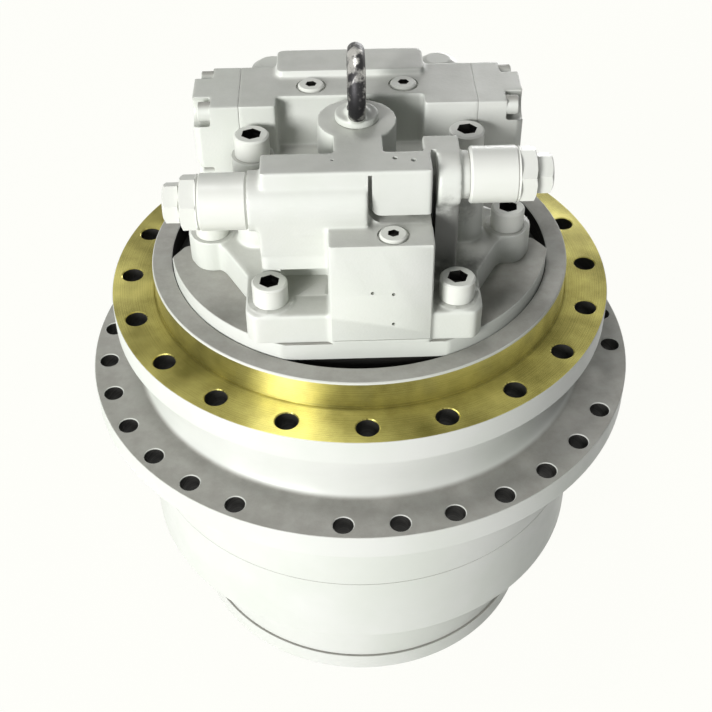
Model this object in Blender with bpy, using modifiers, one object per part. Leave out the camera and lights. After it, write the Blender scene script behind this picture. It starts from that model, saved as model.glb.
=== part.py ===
"""Excavator final drive: a two-stage planetary gearbox with its travel motor.

The drive stands on its end cover, motor upwards, with the sprocket's axis along Z.
The spindle, the motor and the second carrier stand still.
The hub, both ring gears and the end cover turn together with the sprocket.
Lengths are in metres and angles in radians. X runs along the relief valves and Y to the back.
"""
import math

import bmesh
import bpy
from mathutils import Matrix, Vector

MM = 0.001
DEGREE = math.pi / 180
ORIGIN = (0, 0, 0)

# Facets round a circle, from the large flanges to the small fasteners
FLANGE_SIDES = 32
RING_SIDES = 20
SHAFT_SIDES = 12
HOLE_SIDES = 8
HEX_SIDES = 6
CORNER_STEPS = 2

# Clearances shared by all pieces
SEAT = 0.3 * MM
WELD = 0.01 * MM
OVERRUN = 4 * MM
EDGE_BREAK = 2 * MM

# Heights of the stack, from the floor to the top of the spigot
END_COVER_THICKNESS = 22.7 * MM
FIRST_RING_HEIGHT = 99.2 * MM
SECOND_RING_HEIGHT = 88.2 * MM
HUB_BARREL_HEIGHT = 99.5 * MM
SPROCKET_FLANGE_THICKNESS = 28 * MM
NECK_HEIGHT = 63.5 * MM
FLANGE_SLOT = 2 * MM
FRAME_FLANGE_THICKNESS = 28 * MM
SPIGOT_HEIGHT = 32 * MM

FIRST_RING_Z = END_COVER_THICKNESS + SEAT
SECOND_RING_Z = FIRST_RING_Z + FIRST_RING_HEIGHT + SEAT
HUB_Z = SECOND_RING_Z + SECOND_RING_HEIGHT + SEAT
SPROCKET_Z = HUB_Z + HUB_BARREL_HEIGHT
NECK_Z = SPROCKET_Z + SPROCKET_FLANGE_THICKNESS
HUB_TOP_Z = NECK_Z + NECK_HEIGHT
FRAME_FLANGE_Z = HUB_TOP_Z + FLANGE_SLOT
FRAME_FACE_Z = FRAME_FLANGE_Z + FRAME_FLANGE_THICKNESS
SPIGOT_TOP_Z = FRAME_FACE_Z + SPIGOT_HEIGHT

# Motor casing in the spindle's bore, from which the radii grow outwards
CASING_RADIUS = 136 * MM
CASING_FLANGE_REACH = 55 * MM
CASING_FLANGE_THICKNESS = 39.7 * MM
CASING_FLAT_DEPTH = 13 * MM
SHAFT_BEARING_RADIUS = 42 * MM
SHAFT_BEARING_WIDTH = 11 * MM
SHAFT_SEAL_RADIUS = 32 * MM
SHAFT_SEAL_WIDTH = 8 * MM

# Frame flange and spigot of the spindle
CASING_FLANGE_GAP = 3 * MM
SPIGOT_WALL = 21 * MM
FRAME_FLANGE_REACH = 45 * MM
FRAME_HOLE_INSET = 20 * MM
FRAME_HOLE_RADIUS = 11 * MM
FRAME_HOLE_COUNT = 20
LEDGE_RISE = 8 * MM
MOTOR_BORE_DEPTH = 140 * MM
CARRIER_COLLAR_STEP = 6.3 * MM
SPINDLE_END_RISE = 21 * MM

# Sprocket flange and hub, with the holes at the angle they have in the photograph
SPROCKET_FLANGE_REACH = 46 * MM
SPROCKET_HOLE_INSET = 16 * MM
SPROCKET_HOLE_RADIUS = 10 * MM
SPROCKET_PITCH_COUNT = 32
SPROCKET_SKIPPED_EVERY = 8
HUB_REST_ANGLE = -16.36 * DEGREE
BARREL_WALL = 41 * MM
HUB_END_WALL = 32 * MM
HUB_SHOULDER_STEP = 9 * MM
NECK_WALL = 9.3 * MM
NECK_SPREAD = 10 * MM
NECK_FILLET = 24 * MM

# Main bearings between the spindle and the hub
JOURNAL_WALL = 29 * MM
BEARING_SECTION = 40 * MM
BEARING_WIDTH = 38 * MM
BEARING_SPREAD = 32 * MM
LOWER_BEARING_RISE = 41 * MM
RACE_THICKNESS = 13 * MM
ROLLER_COUNT = 14
ROLLER_SHARE = 0.22
ROLLER_LENGTH_SHARE = 0.84
CAGE_THICKNESS = 4.5 * MM
BEARING_NUT_THICKNESS = 14 * MM
BEARING_NUT_WIDTH = 17 * MM

# Floating seal between the hub's neck and the spindle
SEAL_SEAT_STEP = 31 * MM
SEAL_SECTION = 29.7 * MM
SEAL_RING_THICKNESS = 15.4 * MM
SEAL_CLEARANCE = 4 * MM
SEAL_TAPER = 7 * MM

# Gears: stub teeth with straight chords for flanks
PRESSURE_ANGLE = 20 * DEGREE
ADDENDUM_SHARE = 0.8
DEDENDUM_SHARE = 1.1
BACKLASH_SHARE = 0.09
FIRST_SUN_TEETH = 12
FIRST_PLANET_TEETH = 15
FIRST_PLANET_COUNT = 3
FIRST_PLANET_WIDTH = 57 * MM
SECOND_SUN_TEETH = 12
SECOND_PLANET_TEETH = 15
SECOND_PLANET_COUNT = 3
SECOND_PLANET_WIDTH = 70 * MM
PLANET_SIDE_GAP = 0.5 * MM
SUN_END_GAP = 1.5 * MM

# Carriers
FIRST_CARRIER_RIM = 28.4 * MM
FIRST_CARRIER_PLATE = 10 * MM
FIRST_CARRIER_RISE = 5 * MM
FIRST_CARRIER_TOP_PLATE = 13 * MM
FIRST_CARRIER_HUB_RADIUS = 54 * MM
FIRST_CARRIER_HUB_HEIGHT = 12 * MM
FIRST_CARRIER_LIP = 4 * MM
FIRST_PIN_RADIUS = 20 * MM
SECOND_CARRIER_RIM = 31 * MM
SECOND_CARRIER_PLATE = 14 * MM
SECOND_CARRIER_RISE = 2.5 * MM
SECOND_CARRIER_COLLAR_HEIGHT = 18 * MM
SECOND_CARRIER_COLLAR_WALL = 22 * MM
SECOND_PIN_RADIUS = 28 * MM
SUN_PASSAGE_GAP = 3 * MM

# Drive shaft and suns
SHAFT_RADIUS = 20 * MM
SHAFT_PASSAGE_RADIUS = 26 * MM
SHAFT_END_GAP = 0.5 * MM
SECOND_SUN_BORE_RADIUS = 24 * MM
SECOND_SUN_NECK_RADIUS = 38 * MM
THRUST_PAD_RADIUS = 24 * MM
THRUST_PAD_HEIGHT = 5 * MM

# Ring gears and end cover, each drum stepped in from the one above
SECOND_RING_WALL = 25 * MM
SECOND_RING_FLOOR = 13.5 * MM
SECOND_RING_LAP = 22 * MM
DRUM_STEP = 46 * MM
FIRST_RING_WALL = 25.4 * MM
END_COVER_LIP = 2.5 * MM
END_COVER_SPIGOT_GAP = 3.6 * MM
END_COVER_SPIGOT_HEIGHT = 2 * MM
OIL_PLUG_RADIUS = 14 * MM
OIL_PLUG_DEPTH = 14 * MM
OIL_PLUG_INSET = 38 * MM
OIL_PLUG_SINK = 2 * MM
OIL_PLUG_ANGLES = (90 * DEGREE, 180 * DEGREE, 270 * DEGREE)

# Motor cover: base plate, body, blocks and bosses, above the casing
PLATE_THICKNESS = 32.7 * MM
BODY_HEIGHT = 77 * MM
BAR_HEIGHT = 53 * MM
COVER_BEARING_RADIUS = 36 * MM
COVER_BEARING_DEPTH = 20 * MM
SCREW_LOBE_RADIUS = 21 * MM
SCREW_PAD_RISE = 1.5 * MM
TALL_BOSS_HEIGHT = 93 * MM
TALL_BOSS_RADIUS = 20 * MM
TALL_BOSS_SIDE_GAP = 9.5 * MM
TALL_BOSS_REAR_GAP = 2 * MM
SCREW_GROOVE_GAP = 2 * MM
BODY_LEFT = -93 * MM
BODY_RIGHT = 72 * MM
BODY_FRONT = -142.5 * MM
BODY_BACK = 51 * MM
BODY_CORNER = 8 * MM
FRONT_BLOCK_LEFT = -32 * MM
FRONT_BLOCK_RIGHT = 62 * MM
FRONT_BLOCK_CORNER = 5 * MM
BAR_LEFT = -89 * MM
BAR_RIGHT = 66 * MM
BAR_BACK = -109 * MM
BAR_RECESS_LEFT = 4 * MM
BAR_RECESS_RIGHT = 61 * MM
BAR_RECESS_MARGIN = 9 * MM
BAR_RECESS_DEPTH = 1.5 * MM
RIB_RADIUS = 14 * MM
RIB_X = 77 * MM
RIB_FRONT_Y = -126 * MM
RIB_BACK_Y = -98 * MM
EYE_BOSS_X = -2.5 * MM
EYE_BOSS_Y = -52 * MM
EYE_BOSS_RADIUS = 36.6 * MM
EYE_NECK_HALF_WIDTH = 22 * MM
REAR_BLOCK_HALF_LENGTH = 112 * MM
REAR_BLOCK_FRONT = -26 * MM
REAR_BLOCK_BACK = 52 * MM
REAR_BLOCK_HEIGHT = 85 * MM
REAR_RECESS_LEFT = -77 * MM
REAR_RECESS_RIGHT = 62 * MM
REAR_RECESS_DEPTH = 18 * MM
REAR_FOOT_HALF_LENGTH = 92 * MM
REAR_FOOT_BACK = 84 * MM
RAISED_LEFT = -77 * MM
RAISED_RIGHT = 65 * MM
RAISED_FRONT = 28 * MM
RAISED_BACK = 72 * MM
RAISED_RISE = 7 * MM
VALVE_COLLAR_RADIUS = 27 * MM

# Shares of the casing flange's radius: the screws of the cover and the right half of its base plate
FRONT_SCREW_SHARES = (0.4503, -0.7885)
SIDE_SCREW_SHARES = (0.7644, -0.2094)
REAR_SCREW_SHARES = (0.5864, 0.6963)
PLATE_OUTLINE_SHARES = (
    (0.53, -0.914), (0.57, -0.86), (0.57, -0.586), (0.72, -0.36), (0.76, -0.10),
    (0.63, 0.02), (0.63, 0.50), (0.70, 0.64), (0.50, 0.80), (0.30, 0.80),
)

# Cap screws, the same head on all eight
SCREW_HEAD_RADIUS = 16.5 * MM
SCREW_HEAD_HEIGHT = 21 * MM
SCREW_RADIUS = 10 * MM
SCREW_GRIP = 90 * MM
TALL_SCREW_GRIP = 50 * MM
SCREW_SOCKET_RADIUS = 9.8 * MM
SCREW_SOCKET_DEPTH = 11 * MM

# Relief valves, measured along X from the collars on the cover
LEFT_VALVE_START = 101 * MM
LEFT_VALVE_Y = -126 * MM
LEFT_VALVE_RISE = 92.5 * MM
RIGHT_VALVE_START = 95 * MM
RIGHT_VALVE_Y = -110 * MM
RIGHT_VALVE_RISE = 104 * MM
VALVE_SLEEVE_RADIUS = 25.5 * MM
VALVE_SLEEVE_LENGTH = 45 * MM
VALVE_HEX_RADIUS = 26 * MM
VALVE_HEX_LENGTH = 14 * MM
VALVE_CAP_RADIUS = 19 * MM
VALVE_CAP_LENGTH = 15.4 * MM
VALVE_CAP_CHAMFER = 4 * MM
VALVE_STEM_RADIUS = 12 * MM
VALVE_STEM_LENGTH = 28 * MM
VALVE_CAP_STEM_RADIUS = 8 * MM
VALVE_CAP_STEM_LENGTH = 8 * MM

# Spool and its end caps
SPOOL_Y = 13 * MM
SPOOL_DROP = 43 * MM
SPOOL_RADIUS = 15 * MM
SPOOL_HALF_LENGTH = 100 * MM
SPOOL_GROOVE_RADIUS = 10 * MM
SPOOL_LAND_SHARE = 0.4
SPOOL_CENTRE_SHARE = 0.2
END_CAP_LENGTH = 44 * MM
END_CAP_BEVEL = 6 * MM
END_CAP_BORE_DEPTH = 30 * MM
END_CAP_NOTCH_RADIUS = 14 * MM
END_CAP_NOTCH_DEPTH = 17 * MM
END_CAP_NOTCH_INSET = 9 * MM

# Plugs, port caps and the eye bolt
PLUG_RADIUS = 12.5 * MM
PLUG_HEAD_HEIGHT = 5 * MM
PLUG_SINK = 3 * MM
PLUG_SINK_RADIUS = 14.5 * MM
PLUG_SHANK_RADIUS = 9 * MM
PLUG_SHANK_LENGTH = 12 * MM
PLUG_SOCKET_RADIUS = 5.5 * MM
PLUG_SOCKET_DEPTH = 4 * MM
FRONT_PLUG_X = 26 * MM
FRONT_PLUG_Y = -162 * MM
REAR_PLUG_X = 44 * MM
REAR_PLUG_Y = 11 * MM
PORT_X = 84 * MM
PORT_Y = 94 * MM
PORT_BOSS_RADIUS = 26 * MM
PORT_BOSS_DROP = 36 * MM
PORT_NECK_HALF_WIDTH = 20 * MM
PORT_NECK_DROP = 7 * MM
PORT_RADIUS = 14 * MM
PORT_DEPTH = 24 * MM
PORT_CAP_RADIUS = 21 * MM
PORT_CAP_HEIGHT = 13 * MM
PORT_CAP_DOME = 6 * MM
PORT_CAP_DOME_SHARE = 0.6
HOSE_PORT_RADIUS = 16 * MM
HOSE_PORT_DEPTH = 26 * MM
HOSE_PORT_X = 34 * MM
EYE_COLLAR_RADIUS = 20 * MM
EYE_COLLAR_HEIGHT = 7 * MM
EYE_RING_RADIUS = 28 * MM
EYE_WIRE_RADIUS = 8 * MM
EYE_RING_RISE = 37 * MM
EYE_SHANK_RADIUS = 10 * MM
EYE_SHANK_LENGTH = 28 * MM
EYE_RING_STEPS = 16
EYE_WIRE_STEPS = 6

# Heights of the hub's inside
SPINDLE_END_Z = HUB_Z + SPINDLE_END_RISE
LOWER_BEARING_Z = HUB_Z + LOWER_BEARING_RISE
LOWER_SHOULDER_Z = LOWER_BEARING_Z + BEARING_WIDTH + SEAT
UPPER_BEARING_Z = LOWER_SHOULDER_Z + BEARING_SPREAD + SEAT
JOURNAL_TOP_Z = UPPER_BEARING_Z + BEARING_WIDTH + SEAT
SEAL_FACE_Z = FRAME_FLANGE_Z - SEAT - SEAL_RING_THICKNESS
SEAL_FLOOR_Z = SEAL_FACE_Z - 2 * SEAT - SEAL_RING_THICKNESS

# Heights of the motor, stacked on the spindle's ledge
LEDGE_Z = FRAME_FACE_Z + LEDGE_RISE
CASING_FLANGE_Z = LEDGE_Z + SEAT
CASING_TOP_Z = CASING_FLANGE_Z + CASING_FLANGE_THICKNESS
CASING_BOTTOM_Z = LEDGE_Z - MOTOR_BORE_DEPTH + SEAT
PLATE_Z = CASING_TOP_Z + SEAT
PLATE_TOP_Z = PLATE_Z + PLATE_THICKNESS
BODY_TOP_Z = PLATE_TOP_Z + BODY_HEIGHT
BAR_TOP_Z = BODY_TOP_Z + BAR_HEIGHT
REAR_BLOCK_Z = BAR_TOP_Z - REAR_BLOCK_HEIGHT
SPOOL_Z = BAR_TOP_Z - SPOOL_DROP
PORT_BOSS_TOP_Z = BAR_TOP_Z - PORT_BOSS_DROP
COVER_BEARING_TOP_Z = PLATE_Z + COVER_BEARING_DEPTH

# Heights of the gears
FIRST_CARRIER_Z = FIRST_RING_Z + FIRST_CARRIER_RISE
FIRST_PLANET_Z = FIRST_CARRIER_Z + FIRST_CARRIER_PLATE + PLANET_SIDE_GAP
FIRST_CARRIER_TOP_Z = FIRST_PLANET_Z + FIRST_PLANET_WIDTH + PLANET_SIDE_GAP
SECOND_CARRIER_Z = SECOND_RING_Z + SECOND_CARRIER_RISE
SECOND_PLANET_Z = SECOND_CARRIER_Z + SECOND_CARRIER_PLATE + PLANET_SIDE_GAP
SECOND_CARRIER_TOP_Z = SECOND_PLANET_Z + SECOND_PLANET_WIDTH + PLANET_SIDE_GAP
SHAFT_BOTTOM_Z = FIRST_CARRIER_Z + SHAFT_END_GAP
SHAFT_TOP_Z = COVER_BEARING_TOP_Z - EDGE_BREAK

# Radii from the casing outwards
CASING_FLANGE_RADIUS = CASING_RADIUS + CASING_FLANGE_REACH
CASING_FLAT = CASING_FLANGE_RADIUS - CASING_FLAT_DEPTH
CARRIER_COLLAR_RADIUS = CASING_RADIUS - CARRIER_COLLAR_STEP
SPIGOT_BORE_RADIUS = CASING_FLANGE_RADIUS + CASING_FLANGE_GAP
SPIGOT_RADIUS = SPIGOT_BORE_RADIUS + SPIGOT_WALL
FRAME_FLANGE_RADIUS = SPIGOT_RADIUS + FRAME_FLANGE_REACH
FRAME_BOLT_CIRCLE_RADIUS = FRAME_FLANGE_RADIUS - FRAME_HOLE_INSET
JOURNAL_RADIUS = CASING_RADIUS + JOURNAL_WALL
BEARING_OUTER_RADIUS = JOURNAL_RADIUS + BEARING_SECTION
HUB_SHOULDER_RADIUS = BEARING_OUTER_RADIUS - HUB_SHOULDER_STEP
BARREL_RADIUS = BEARING_OUTER_RADIUS + BARREL_WALL
HUB_END_BORE_RADIUS = BARREL_RADIUS - HUB_END_WALL
SPROCKET_FLANGE_RADIUS = BARREL_RADIUS + SPROCKET_FLANGE_REACH
SPROCKET_BOLT_CIRCLE_RADIUS = SPROCKET_FLANGE_RADIUS - SPROCKET_HOLE_INSET
SEAL_SEAT_RADIUS = JOURNAL_RADIUS + SEAL_SEAT_STEP
SEAL_RING_RADIUS = SEAL_SEAT_RADIUS + SEAL_SECTION
NECK_TOP_RADIUS = SEAL_RING_RADIUS + NECK_WALL
NECK_FOOT_RADIUS = NECK_TOP_RADIUS + NECK_SPREAD
FIRST_RING_RADIUS = BARREL_RADIUS - DRUM_STEP
SECOND_RING_BORE_RADIUS = FIRST_RING_RADIUS - SECOND_RING_LAP
END_COVER_RADIUS = FIRST_RING_RADIUS + END_COVER_LIP

# Gears that fill the drums
FIRST_RING_TEETH = FIRST_SUN_TEETH + 2 * FIRST_PLANET_TEETH
SECOND_RING_TEETH = SECOND_SUN_TEETH + 2 * SECOND_PLANET_TEETH
FIRST_MODULE = (FIRST_RING_RADIUS - FIRST_RING_WALL) / (FIRST_RING_TEETH / 2 + DEDENDUM_SHARE)
SECOND_MODULE = (BARREL_RADIUS - SECOND_RING_WALL) / (SECOND_RING_TEETH / 2 + DEDENDUM_SHARE)
FIRST_PIN_CIRCLE_RADIUS = FIRST_MODULE * (FIRST_SUN_TEETH + FIRST_PLANET_TEETH) / 2
SECOND_PIN_CIRCLE_RADIUS = SECOND_MODULE * (SECOND_SUN_TEETH + SECOND_PLANET_TEETH) / 2
FIRST_RING_TIP_RADIUS = FIRST_MODULE * (FIRST_RING_TEETH / 2 - ADDENDUM_SHARE)
SECOND_SUN_TIP_RADIUS = SECOND_MODULE * (SECOND_SUN_TEETH / 2 + ADDENDUM_SHARE)
FIRST_CARRIER_RADIUS = FIRST_PIN_CIRCLE_RADIUS + FIRST_CARRIER_RIM
SECOND_CARRIER_RADIUS = SECOND_PIN_CIRCLE_RADIUS + SECOND_CARRIER_RIM
END_COVER_SPIGOT_RADIUS = FIRST_RING_TIP_RADIUS - END_COVER_SPIGOT_GAP
OIL_PLUG_CIRCLE_RADIUS = END_COVER_SPIGOT_RADIUS - OIL_PLUG_INSET

# Places of the cap screws that go through the cover's plate and the casing into the spindle
COVER_SCREW_PLACES = {}
for row, (x_share, y_share) in (
    ("front_", FRONT_SCREW_SHARES), ("", SIDE_SCREW_SHARES), ("rear_", REAR_SCREW_SHARES)
):
    x, y = x_share * CASING_FLANGE_RADIUS, y_share * CASING_FLANGE_RADIUS
    COVER_SCREW_PLACES[f"{row}left"] = (-x, y)
    COVER_SCREW_PLACES[f"{row}right"] = (x, y)
TALL_SCREW_X = COVER_SCREW_PLACES["right"][0] - SCREW_HEAD_RADIUS - TALL_BOSS_SIDE_GAP - TALL_BOSS_RADIUS
TALL_SCREW_Y = REAR_BLOCK_FRONT - TALL_BOSS_REAR_GAP - TALL_BOSS_RADIUS
TALL_SCREW_PLACES = {
    "left": (-TALL_SCREW_X, TALL_SCREW_Y),
    "right": (TALL_SCREW_X, TALL_SCREW_Y),
}
PLUG_PLACES = {
    "front_plug": (FRONT_PLUG_X, FRONT_PLUG_Y, BODY_TOP_Z),
    "check_plug_left": (-REAR_PLUG_X, REAR_PLUG_Y, BAR_TOP_Z),
    "check_plug_right": (REAR_PLUG_X, REAR_PLUG_Y, BAR_TOP_Z),
}
VALVE_PLACES = {
    "left": (-1, LEFT_VALVE_START, LEFT_VALVE_Y, PLATE_TOP_Z + LEFT_VALVE_RISE),
    "right": (1, RIGHT_VALVE_START, RIGHT_VALVE_Y, PLATE_TOP_Z + RIGHT_VALVE_RISE),
}
VALVE_COLLAR_ROOTS = {"left": -BAR_LEFT - OVERRUN, "right": RIB_X}

# Material colours, with roughness and metallic value
GREY_PAINT = ((0.55, 0.56, 0.53, 1), 0.45, 0.0)
GOLD_FILM = ((0.62, 0.50, 0.13, 1), 0.25, 1.0)
GROUND_STEEL = ((0.58, 0.58, 0.60, 1), 0.30, 1.0)
GEAR_STEEL = ((0.42, 0.42, 0.44, 1), 0.38, 1.0)
CAST_IRON = ((0.22, 0.22, 0.23, 1), 0.65, 0.6)
BRONZE = ((0.60, 0.38, 0.16, 1), 0.35, 1.0)
WORN_STEEL = ((0.10, 0.10, 0.11, 1), 0.40, 1.0)


for old in list(bpy.data.objects):
    bpy.data.objects.remove(old)

PARTS = bpy.data.collections.new("excavator_final_drive")
CUTTERS = bpy.data.collections.new("cutters")
bpy.context.scene.collection.children.link(PARTS)
bpy.context.scene.collection.children.link(CUTTERS)


# Making and joining solids

def add_object(name, mesh, at=ORIGIN):
    obj = bpy.data.objects.new(name, mesh)
    obj.location = at
    PARTS.objects.link(obj)
    return obj


def cylinder(name, radius, low, high, sides, at=ORIGIN, axis="Z", top_radius=None):
    """A cylinder or cone from low to high along an axis through at."""
    mesh = bpy.data.meshes.new(name)
    shape = bmesh.new()
    top = radius if top_radius is None else top_radius
    bmesh.ops.create_cone(
        shape, cap_ends=True, segments=sides, radius1=radius, radius2=top, depth=high - low
    )
    bmesh.ops.translate(shape, verts=shape.verts, vec=Vector((0, 0, (low + high) / 2)))
    if axis == "X":
        bmesh.ops.rotate(shape, verts=shape.verts, matrix=Matrix.Rotation(math.pi / 2, 3, "Y"))
    if axis == "Y":
        bmesh.ops.rotate(shape, verts=shape.verts, matrix=Matrix.Rotation(-math.pi / 2, 3, "X"))
    shape.to_mesh(mesh)
    shape.free()
    return add_object(name, mesh, at)


def along_x(name, radius, start, end, sides, centre, side):
    """A cylinder along X whose start and end are measured outwards on one side."""
    low, high = sorted((side * start, side * end))
    return cylinder(name, radius, low, high, sides, centre, "X")


def box(name, low, high):
    """A box between two corners."""
    mesh = bpy.data.meshes.new(name)
    shape = bmesh.new()
    bmesh.ops.create_cube(shape, size=1)
    size = Vector(high) - Vector(low)
    bmesh.ops.scale(shape, verts=shape.verts, vec=size)
    bmesh.ops.translate(shape, verts=shape.verts, vec=Vector(low) + size / 2)
    shape.to_mesh(mesh)
    shape.free()
    return add_object(name, mesh)


def turned(name, profile, sides, at=ORIGIN, axis="Z"):
    """A profile of (radius, height) points, down its outer side, turned round an axis through at."""
    mesh = bpy.data.meshes.new(name)
    points = [(radius, 0, height) for radius, height in profile]
    count = len(points)
    solid_core = profile[0][0] == 0 and profile[-1][0] == 0
    edge_count = count - 1 if solid_core else count
    edges = [(i, (i + 1) % count) for i in range(edge_count)]
    mesh.from_pydata(points, edges, [])
    obj = add_object(name, mesh, at)
    screw = obj.modifiers.new("turn", "SCREW")
    screw.axis = "Z"
    screw.steps = sides
    screw.render_steps = sides
    screw.use_merge_vertices = True
    screw.merge_threshold = WELD
    if axis == "X":
        obj.rotation_euler.y = math.pi / 2
    if axis == "-X":
        obj.rotation_euler.y = -math.pi / 2
    return obj


def as_mesh(obj):
    """The same object as a plain mesh, with its doubled points welded."""
    bpy.context.view_layer.update()
    mesh = bpy.data.meshes.new_from_object(obj.evaluated_get(bpy.context.evaluated_depsgraph_get()))
    shape = bmesh.new()
    shape.from_mesh(mesh)
    bmesh.ops.remove_doubles(shape, verts=shape.verts, dist=WELD)
    bmesh.ops.recalc_face_normals(shape, faces=shape.faces)
    shape.to_mesh(mesh)
    shape.free()
    name = obj.name
    matrix = obj.matrix_world.copy()
    bpy.data.objects.remove(obj)
    result = add_object(name, mesh)
    result.matrix_world = matrix
    return result


def prism(name, outlines, low, high, at=ORIGIN):
    """A flat outline, with any holes as further outlines, extruded from low to high."""
    curve = bpy.data.curves.new(name, "CURVE")
    curve.dimensions = "2D"
    curve.fill_mode = "BOTH"
    curve.extrude = (high - low) / 2
    for outline in outlines:
        spline = curve.splines.new("POLY")
        spline.points.add(len(outline) - 1)
        for point, (x, y) in zip(spline.points, outline):
            point.co = (x, y, 0, 1)
        spline.use_cyclic_u = True
    obj = add_object(name, curve, (at[0], at[1], at[2] + (low + high) / 2))
    return as_mesh(obj)


def rounded_rectangle(low, high, radius):
    """Corner arcs of one radius, anticlockwise from the lower right corner."""
    centres = (
        (high[0] - radius, low[1] + radius), (high[0] - radius, high[1] - radius),
        (low[0] + radius, high[1] - radius), (low[0] + radius, low[1] + radius),
    )
    outline = []
    for corner, (x, y) in enumerate(centres):
        start = (corner - 1) * math.pi / 2
        for step in range(CORNER_STEPS + 1):
            angle = start + step * math.pi / 2 / CORNER_STEPS
            outline.append((x + radius * math.cos(angle), y + radius * math.sin(angle)))
    return outline


def hull_of_circles(first, first_radius, second, second_radius, steps):
    """The outline of a strap pulled tight round two circles."""
    run = Vector(second) - Vector(first)
    heading = math.atan2(run.y, run.x)
    spread = math.acos((first_radius - second_radius) / run.length)
    outline = []
    for step in range(steps + 1):
        angle = heading + spread + (2 * math.pi - 2 * spread) * step / steps
        outline.append((first[0] + first_radius * math.cos(angle), first[1] + first_radius * math.sin(angle)))
    for step in range(steps + 1):
        angle = heading - spread + 2 * spread * step / steps
        outline.append(
            (second[0] + second_radius * math.cos(angle), second[1] + second_radius * math.sin(angle))
        )
    return outline


def as_tool(obj):
    PARTS.objects.unlink(obj)
    CUTTERS.objects.link(obj)
    obj.hide_render = True
    obj.display_type = "WIRE"


def boolean(obj, tool, operation):
    step = obj.modifiers.new(tool.name, "BOOLEAN")
    step.operation = operation
    step.solver = "EXACT"
    step.object = tool
    if tool.name in PARTS.objects:
        as_tool(tool)


def cut(obj, *tools):
    for tool in tools:
        boolean(obj, tool, "DIFFERENCE")


def join(obj, *tools):
    for tool in tools:
        boolean(obj, tool, "UNION")


def drills(name, radius, places, low, high, sides):
    """One tool that holds an upright cylinder at each (x, y) place."""
    mesh = bpy.data.meshes.new(name)
    shape = bmesh.new()
    half_step = Matrix.Rotation(math.pi / sides, 4, "Z")
    for x, y in places:
        bmesh.ops.create_cone(
            shape, cap_ends=True, segments=sides, radius1=radius, radius2=radius, depth=high - low,
            matrix=Matrix.Translation((x, y, (low + high) / 2)) @ half_step
        )
    shape.to_mesh(mesh)
    shape.free()
    return add_object(name, mesh)


def finish(obj, look):
    """Gives a piece a material of its own."""
    colour, roughness, metallic = look
    material = bpy.data.materials.new(obj.name)
    material.use_nodes = True
    shader = material.node_tree.nodes["Principled BSDF"]
    shader.inputs["Base Color"].default_value = colour
    shader.inputs["Roughness"].default_value = roughness
    shader.inputs["Metallic"].default_value = metallic
    obj.data.materials.append(material)
    return obj


def even_angles(count, start=0.0):
    return [start + 2 * math.pi * i / count for i in range(count)]


def on_circle(radius, angles):
    return [(radius * math.cos(a), radius * math.sin(a)) for a in angles]


def clear_bore(shaft_radius, sides):
    """A faceted bore whose flats clear the corners of a round piece inside it."""
    return (shaft_radius + SEAT) / math.cos(math.pi / sides)


# Gear teeth

def involute(angle):
    return math.tan(angle) - angle


def half_tooth_angle(radius, teeth, module, thinning):
    """Half the angle that a tooth takes at a radius."""
    pitch_radius = module * teeth / 2
    base_radius = pitch_radius * math.cos(PRESSURE_ANGLE)
    pressure = math.acos(min(1, base_radius / radius))
    at_pitch = math.pi / (2 * teeth) - thinning / (2 * pitch_radius)
    return at_pitch + involute(PRESSURE_ANGLE) - involute(pressure)


def gear_outline(teeth, module, turn, inner_share, outer_share, thinning):
    """Four points a tooth: root, tip, tip, root. The shares reach in and out of the pitch circle."""
    pitch_radius = module * teeth / 2
    root_radius = pitch_radius - inner_share * module
    tip_radius = pitch_radius + outer_share * module
    root_angle = half_tooth_angle(root_radius, teeth, module, thinning)
    tip_angle = half_tooth_angle(tip_radius, teeth, module, thinning)
    outline = []
    for centre in even_angles(teeth, turn):
        for radius, offset in (
            (root_radius, -root_angle), (tip_radius, -tip_angle),
            (tip_radius, tip_angle), (root_radius, root_angle),
        ):
            angle = centre + offset
            outline.append((radius * math.cos(angle), radius * math.sin(angle)))
    return outline


def external_gear(teeth, module, turn):
    return gear_outline(teeth, module, turn, DEDENDUM_SHARE, ADDENDUM_SHARE, BACKLASH_SHARE * module)


def internal_gear(teeth, module, turn):
    """The outline of the space inside a ring gear, which is shaped like a gear with wide teeth."""
    return gear_outline(teeth, module, turn, ADDENDUM_SHARE, DEDENDUM_SHARE, -BACKLASH_SHARE * module)


def planet_turn(position, sun_teeth, planet_teeth):
    """Turn of a planet's tooth so that a gap faces a sun that has a tooth on +X."""
    sun_phase = position * sun_teeth / (2 * math.pi)
    return position + math.pi - (1 - 2 * sun_phase) * math.pi / planet_teeth


def ring_turn(sun_teeth, planet_teeth, ring_teeth):
    """Turn of a ring gear's space so that it takes the tooth of the planet on +X."""
    tooth = planet_turn(0, sun_teeth, planet_teeth)
    return tooth * planet_teeth / ring_teeth


FIRST_PLANET_ANGLES = even_angles(FIRST_PLANET_COUNT)
SECOND_PLANET_ANGLES = even_angles(SECOND_PLANET_COUNT)
SCREW_BORE = clear_bore(SCREW_RADIUS, HOLE_SIDES)


# Spindle with the frame flange

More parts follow.
